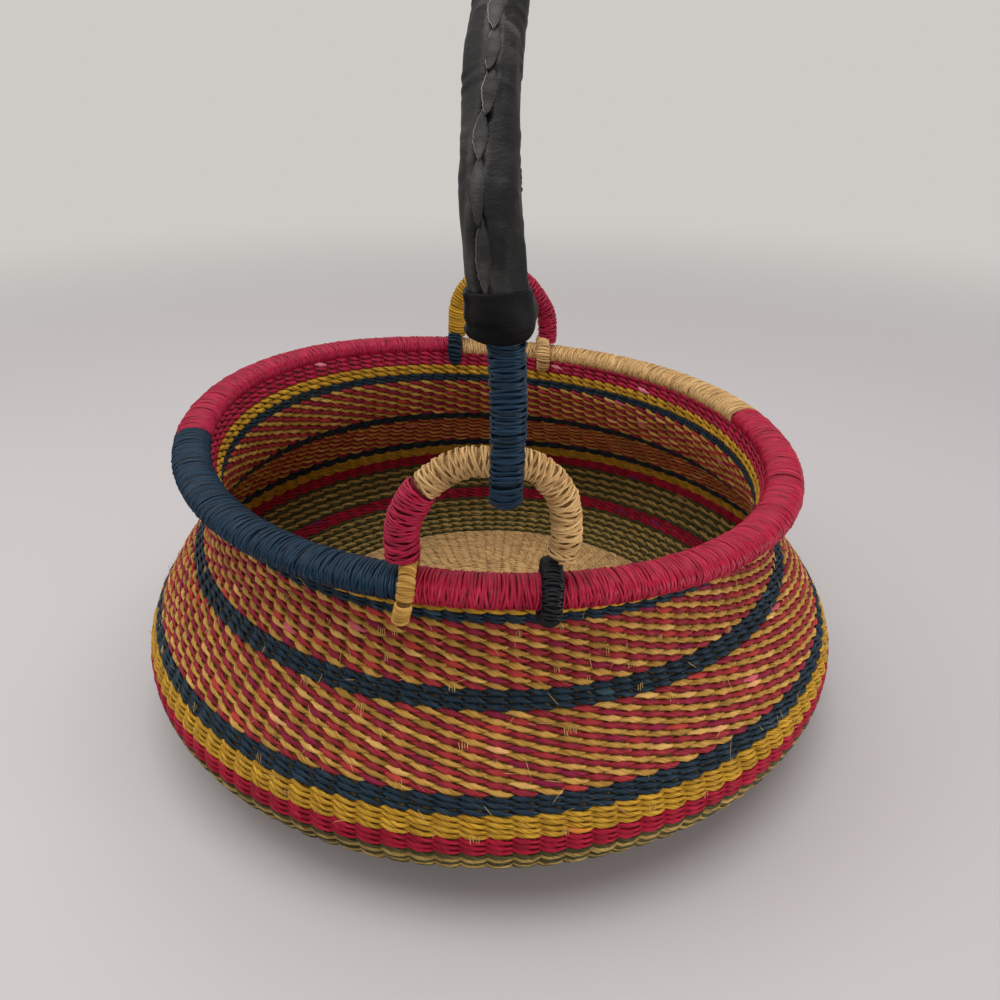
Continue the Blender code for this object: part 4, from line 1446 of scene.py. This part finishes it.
    def build_sleeve(self) -> None:
        """Makes the leather sleeve with its creases, dents, sunken seam and slits."""
        total = self.arch()[2][-1]
        cuts, around = 620, 104
        inset = self.sleeve_inset
        length = np.linspace(inset, total - inset, cuts)[:, None].repeat(around, 1)
        share = (np.arange(around) / around)[None].repeat(cuts, 0)
        rng = np.random.default_rng(900)
        bumps = self.bumps.over(rng, length, share)
        folds = self.folds.over(rng, length, share)
        folds *= 0.2 + 1.3 * ease(self.fold_places.over(rng, length, share) + 0.2)
        seam = self.seam_at(length, total)
        across = np.where(share > 0.5, share - 1, share) * (TURN * self.half_width)
        near = np.abs(across - seam)
        groove = -self.seam_depth * hump(near, 0.0006)
        roll = 0.0005 * hump(near - 0.0024, 0.0011)
        number = (length - self.cuff_length) / self.thong_pitch
        slit = hump((number - np.round(number)) * self.thong_pitch, 0.0022)
        groove -= self.slit_depth * slit * hump(across - seam - 0.0016, 0.0011)
        proud = np.clip(bumps + folds, -0.0005, 0.0005) + groove + roll
        # Tone rises on bumps, folds and the roll beside the seam, which the leather paints paler:
        # partly wear, partly painted highlight
        tone = 0.5 + (bumps * 0.5 + folds * 1.6 + roll * 0.9) / 0.0011
        piece = grid_object("leather_sleeve", self.surface(length, share, proud), "leather", tone,
                            np.zeros_like(length))
        settle(piece, HANDLE, "leather", "leather_grip")

    def cuff_outline(self) -> tuple[Array, Array]:
        """A cuff's outline: how far along it and how far off the leather each point lies."""
        thick, tuck, sunk = self.cuff_thick, self.cuff_tuck, self.cuff_sunk
        edge = self.cuff_length - self.cuff_edge
        climb = np.linspace(0, math.pi / 2, 14)
        rolled = np.linspace(0, math.pi, 9)[1:-1]
        heights = np.concatenate([
            tuck * (1 - np.cos(climb)), np.linspace(tuck, edge, 30)[1:],
            edge + self.cuff_edge * np.sin(rolled),
            np.linspace(0.96, 0.2, 16) * self.cuff_length, [0.0012]])
        stands = np.concatenate([
            -sunk + (thick + sunk) * np.sin(climb), np.full(29, thick),
            thick * (1 + np.cos(rolled)) / 2, np.full(16, -0.0002), [-0.0022]])
        return heights, stands

    def build_cuffs(self) -> None:
        """Makes the folded cuffs: a band lapped over itself, with rolled edges."""
        total = self.arch()[2][-1]
        around = 120
        heights, stands = self.cuff_outline()
        share = (np.arange(around) / around)[None].repeat(len(heights), 0)
        height = np.broadcast_to(heights[:, None], share.shape)
        stand = np.broadcast_to(stands[:, None], share.shape)
        shown = np.clip(stand / self.cuff_thick, 0, 1)
        lap = (share - self.lap_start) % 1.0
        lapped = 0.0012 * (1 - ease(lap / 0.02)) + 0.0005 * lap
        fold = -0.0009 * hump(height - 0.0065, 0.0014) * (share > 0.6)
        tilted = height + 0.0007 * np.sin(TURN * share + 0.6) * shown
        edge = hump(lap - 0.01, 0.006) * 0.6 * shown
        for order, side in enumerate(("front", "back")):
            rng = np.random.default_rng(920 + order)
            lump = self.cuff_lumps.over(rng, height, share)
            crease = self.cuff_creases.over(rng, height, share)
            proud = stand + shown * (lapped + lump + crease + fold) + self.cuff_lift
            if side == "front":
                points = self.surface(tilted, share, proud)
            else:
                points = self.surface(total - tilted, 1 - share, proud)
            # Tone rises on lumps and creases, which the leather paints paler: partly wear, partly
            # painted highlight
            tone = 0.5 + (lump + crease) / 0.0009
            piece = grid_object(f"{side}_cuff_fold", points, "cuff", tone, edge, closed_along=True)
            settle(piece, HANDLE, "leather", f"{side}_cuff")

    def build_thong(self) -> None:
        """Makes the flat thong: a chain of lenses, each tucked under the next."""
        total = self.arch()[2][-1]
        clear = self.cuff_length + 0.001
        count = round((total - 2 * clear) / self.thong_pitch)
        pitch = (total - 2 * clear) / count
        rng = np.random.default_rng(940)
        rows, columns = 22, 11
        u = np.linspace(-1, 1, rows)[:, None]
        v = np.linspace(-1, 1, columns)[None]
        sheets, tones, cuts = [], [], []
        for number in range(count):
            middle = clear + (number + 0.5) * pitch
            half = self.thong_half * rng.uniform(0.86, 1.14)
            wide = 0.0003 + half * (1 - np.abs(u) ** 1.8) ** 1.15
            length = middle + u * pitch * 0.58 + 0 * v
            turn = rng.normal(0, 0.05)
            ragged = 0.00012 * rng.normal(0, 1, (rows, 1))
            across = (self.seam_at(length, total) + rng.normal(0, 0.0003) + v * (wide + ragged)
                      + turn * u * pitch / 2)
            lift = 0.0005 + 0.0006 * (1 - v**2) * (1 - u**2) - 0.00075 * u * np.abs(u) ** 2
            lift = lift + 0.0002 * np.abs(v) ** 6 + 0.00015 * np.sin(9 * u + number) * (1 - v**2)
            girth = TURN * self.half_width + 4 * (self.depth(length, total) - self.half_width)
            share = across / girth
            sheets.append(tuple(self.surface(length, share, lift - sunk)
                                for sunk in (0.0, self.thong_thick)))
            # Tone rises along each lens's crown, which the leather paints paler: partly wear,
            # partly painted highlight
            tones.append(0.5 + 0.3 * (1 - v**2) + 0 * u)
            # Pale cut edges, full on one side and weaker on the other, which is left darker as
            # painted shade
            cuts.append(np.abs(v) ** 10 * rng.uniform(0.5, 1.0) * (0.35 + 0.65 * (v < 0)) + 0 * u)
        piece = lens_object("thong_lenses", sheets, tones, cuts)
        settle(piece, HANDLE, "lace", "grip_lacing")

    def build_core(self) -> None:
        """Makes the straw that shows between the eyes and the leather."""
        mesh = StrandMesh("handle_bundle", ["straw"], 950, sides=12)
        for toward in (-1.0, 1.0):
            spine = self.eye_spine(toward)
            bundle(mesh, spine, 0, spine.total, self.eye_reach(spine, self.straw_inset),
                   "straw", 90)
        settle(mesh.build(), HANDLE, "straw_core", "handle_core")

    def build(self) -> None:
        """Makes the whole handle."""
        self.build_core()
        self.build_eyes()
        self.build_sleeve()
        self.build_cuffs()
        self.build_thong()


def grid_faces(rows: int, columns: int, first: int, closed_around: bool,
               closed_along: bool) -> Array:
    """The faces of a grid of points, row after row."""
    i, j = np.meshgrid(np.arange(rows if closed_along else rows - 1),
                       np.arange(columns if closed_around else columns - 1), indexing="ij")
    after, beside = (i + 1) % rows, (j + 1) % columns
    return first + np.stack([i * columns + j, i * columns + beside, after * columns + beside,
                             after * columns + j], -1).reshape(-1, 4)


def grid_object(name: str, points: Array, finish: str, tone: Array, cut: Array,
                closed_along: bool = False) -> bpy.types.Object:
    """A piece from rings of points, its open ends filled.

    Args:
        name: the piece's name.
        points: its points, ring by ring.
        finish: its finish.
        tone: how high or pale each point is.
        cut: how much of a cut edge each point shows.
        closed_along: whether the last ring joins the first.

    Returns:
        The object, in the scene.
    """
    rows, columns = points.shape[:2]
    quads = grid_faces(rows, columns, 0, True, closed_along)
    corners, starts = [quads.ravel()], [np.arange(len(quads)) * 4]
    if not closed_along:
        ring = np.arange(columns)
        corners.append(np.concatenate([ring[::-1], (rows - 1) * columns + ring]))
        starts.append(quads.size + np.array([0, columns]))
    piece = mesh_object(name, points.reshape(-1, 3), np.concatenate(corners),
                        np.concatenate(starts), [finish],
                        {"tone": tone.reshape(-1), "cut": cut.reshape(-1)})
    return turned_out(piece)


def lens_object(name: str, sheets: Iterable[tuple[Array, Array]], tones: Sequence[Array],
                cuts: Sequence[Array]) -> bpy.types.Object:
    """A piece from thin plates, each an upper and a lower sheet joined at their edges."""
    points, faces, tone, cut = [], [], [], []
    count = 0
    for (upper, lower), tone_of, cut_of in zip(sheets, tones, cuts):
        rows, columns = upper.shape[:2]
        size = rows * columns
        faces.append(grid_faces(rows, columns, count, False, False))
        faces.append(grid_faces(rows, columns, count + size, False, False)[:, ::-1])
        grid = np.arange(size).reshape(rows, columns)
        edge = np.concatenate([grid[0, :-1], grid[:-1, -1], grid[-1, :0:-1], grid[:0:-1, 0]])
        after = np.roll(edge, -1)
        faces.append(count + np.stack([edge, edge + size, after + size, after], -1))
        points += [upper.reshape(-1, 3), lower.reshape(-1, 3)]
        tone += [tone_of.reshape(-1)] * 2
        cut += [cut_of.reshape(-1)] * 2
        count += 2 * size
    quads = np.concatenate(faces)
    piece = mesh_object(name, np.concatenate(points), quads.ravel(), np.arange(len(quads)) * 4,
                        ["thong"], {"tone": np.concatenate(tone), "cut": np.concatenate(cut)})
    return turned_out(piece)


def turned_out(piece: bpy.types.Object) -> bpy.types.Object:
    """The same piece with its faces looking out."""
    build = bmesh.new()
    build.from_mesh(piece.data)
    bmesh.ops.recalc_face_normals(build, faces=build.faces)
    build.to_mesh(piece.data)
    build.free()
    return piece


@dataclass
class LooseFibres:
    """Ends of strands that stick out of the weave, and a few loose straws."""

    body: WovenBody
    clusters: int = 190
    tick_gap: float = 0.0012
    tick_half: float = 0.00016
    hairs: int = 260
    hair_half: float = 0.00011
    reach: float = 0.19
    stand: float = 0.0027

    def build(self) -> None:
        """Makes them all in one piece."""
        mesh = StrandMesh("loose_fibres", ["fibre"], 1000, sides=4)
        rng = mesh.rng
        neck, top, bottom = (self.body.marks[order] for order in (1, 2, 9))
        for _ in range(self.clusters):
            length = rng.uniform(top, bottom)
            turn = rng.uniform(0, TURN)
            ticks = rng.integers(2, 5)
            spread = (self.tick_gap / self.reach * np.arange(ticks) + turn
                      + rng.normal(0, 0.0006, ticks))
            self._hair(mesh, np.full(ticks, length), spread,
                       rng.uniform(0.0012, 0.0026, ticks), rng.normal(0, 0.15, ticks),
                       rng.uniform(0.0, 0.0004, ticks), self.tick_half)
        count = self.hairs
        self._hair(mesh, rng.uniform(neck, bottom, count), rng.uniform(0, TURN, count),
                   rng.uniform(0.0015, 0.005, count), rng.normal(0, 1.0, count),
                   rng.uniform(0.0002, 0.0016, count), self.hair_half)
        settle(mesh.build(), BASKET, "natural_weave")

    def _hair(self, mesh: StrandMesh, length: Array, turn: Array, half: Array, lean: Array,
              rise: Array, thick: float) -> None:
        """Adds short fibres that lie on the outside of the weave.

        Args:
            mesh: the piece that they belong to.
            length: how far below the rim each lies.
            turn: its angle round the basket.
            half: half its own length.
            lean: how far it leans from upright.
            rise: how far its tip stands off.
            thick: half its thickness.
        """
        at = np.linspace(-1, 1, 7)[None]
        up = half[:, None] * at * np.cos(lean)[:, None]
        side = half[:, None] * at * np.sin(lean)[:, None]
        stand = self.stand + rise[:, None] * (at + 1) ** 2 / 2
        angle = turn[:, None] + side / self.reach
        places = length[:, None] + 0 * at
        line = self.body.on_wall(places, angle, stand, up)
        away = self.body.on_wall(places, angle, stand + STEP_OUT, up) - line
        taper = thick * (1.05 - 0.75 * np.abs(at) ** 3)
        mesh.add(line, away, taper, taper, "fibre", mesh.rng.uniform(0.3, 0.9, (len(half), 1)))


# Studio


@dataclass
class Studio:
    """The floor, the lamps and the camera."""

    floor_colour: Colour = paint(188, 183, 183)
    floor_reach: float = 3.5
    floor_height: float = -0.0002
    fade: tuple[float, float] = (0.55, 1.7)
    wall_colour: Colour = paint(206, 203, 199)
    light_colour: Colour = (1.0, 0.99, 0.98)
    light_strength: float = 0.3
    camera_place: tuple[float, float, float] = (0.0054, -0.466, 0.3535)
    camera_pitch: float = 27.7
    camera_roll: float = 0.26
    lens: float = 30.89
    lamp_aim: tuple[float, float, float] = (0.0, 0.0, 0.1)
    lamps: tuple[tuple[str, tuple[float, float, float], float, float], ...] = (
        ("key", (-1.0, -0.1, 0.95), 0.9, 4.5),
        ("top", (0.0, 0.05, 1.7), 2.0, 27.0),
        ("right", (1.65, -0.8, 0.22), 0.5, 15.0),
        ("front", (-0.2, -1.4, 0.75), 0.8, 4.0),
    )

    def build_floor(self) -> None:
        """A round floor that fades into the background colour far out."""
        count = 96
        turn = TURN * np.arange(count) / count
        points = np.stack([self.floor_reach * np.cos(turn), self.floor_reach * np.sin(turn),
                           np.full(count, self.floor_height)], -1)
        mesh = bpy.data.meshes.new("floor")
        mesh.from_pydata([tuple(point) for point in points], [], [tuple(range(count))])
        floor = linked("floor", mesh)
        made = bpy.data.materials.new("floor_paper")
        book = ShaderBook(made)
        place = book.node("ShaderNodeTexCoord").outputs["Object"]
        far = book.node("ShaderNodeVectorMath", {"operation": "LENGTH"}, {0: place})
        fade = Value(book, far.outputs["Value"]).above(*self.fade)
        paper = book.node("ShaderNodeBsdfDiffuse", None, {"Color": self.floor_colour})
        glow = book.node("ShaderNodeEmission", None, {"Color": self.wall_colour, "Strength": 1.0})
        mix = book.node("ShaderNodeMixShader", None,
                        {0: fade * book.seen(), 1: paper.outputs[0], 2: glow.outputs[0]})
        book.node("ShaderNodeOutputMaterial", None, {"Surface": mix.outputs[0]})
        mesh.materials.append(made)

    def build_world(self) -> None:
        """Even light from all round, and a pale background for the camera alone."""
        world = bpy.data.worlds.new("studio")
        bpy.context.scene.world = world
        book = ShaderBook(world)
        light = book.node("ShaderNodeBackground", None,
                          {"Color": self.light_colour, "Strength": self.light_strength})
        back = book.node("ShaderNodeBackground", None, {"Color": self.wall_colour, "Strength": 1.0})
        mix = book.node("ShaderNodeMixShader", None,
                        {0: book.seen(), 1: light.outputs[0], 2: back.outputs[0]})
        book.node("ShaderNodeOutputWorld", None, {"Surface": mix.outputs[0]})

    def build_lamps(self) -> None:
        """Large soft lamps that look at the basket."""
        for name, place, size, power in self.lamps:
            data = bpy.data.lights.new(name, "AREA")
            data.shape = "DISK"
            data.size = size
            data.energy = power
            lamp = linked(name, data)
            lamp.location = place
            aim = Vector(self.lamp_aim) - Vector(place)
            lamp.rotation_euler = aim.to_track_quat("-Z", "Y").to_euler()

    def build_camera(self) -> None:
        """The camera, where the photograph was taken from."""
        data = bpy.data.cameras.new("camera")
        data.lens = self.lens
        data.sensor_width = 36.0
        data.clip_start = 0.01
        camera = linked("camera", data)
        tilt = Matrix.Rotation(math.radians(90 - self.camera_pitch), 4, "X")
        roll = Matrix.Rotation(math.radians(self.camera_roll), 4, "Z")
        camera.matrix_world = Matrix.Translation(self.camera_place) @ tilt @ roll
        bpy.context.scene.camera = camera

    def build(self) -> None:
        """Makes the studio."""
        self.build_floor()
        self.build_world()
        self.build_lamps()
        self.build_camera()
        bpy.context.scene.view_settings.view_transform = "Standard"


def main() -> None:
    """Dresses the basket."""
    logging.basicConfig(level=logging.INFO, format="%(message)s")
    Studio().build()
    body = WovenBody()
    body.build()
    LooseFibres(body).build()
    rim = Rim()
    rim.build()
    Ties(rim).build()
    hinge = HingeFrame()
    RimLoops(hinge).build()
    Handle(hinge).build()


if __name__ == "__main__":
    main()
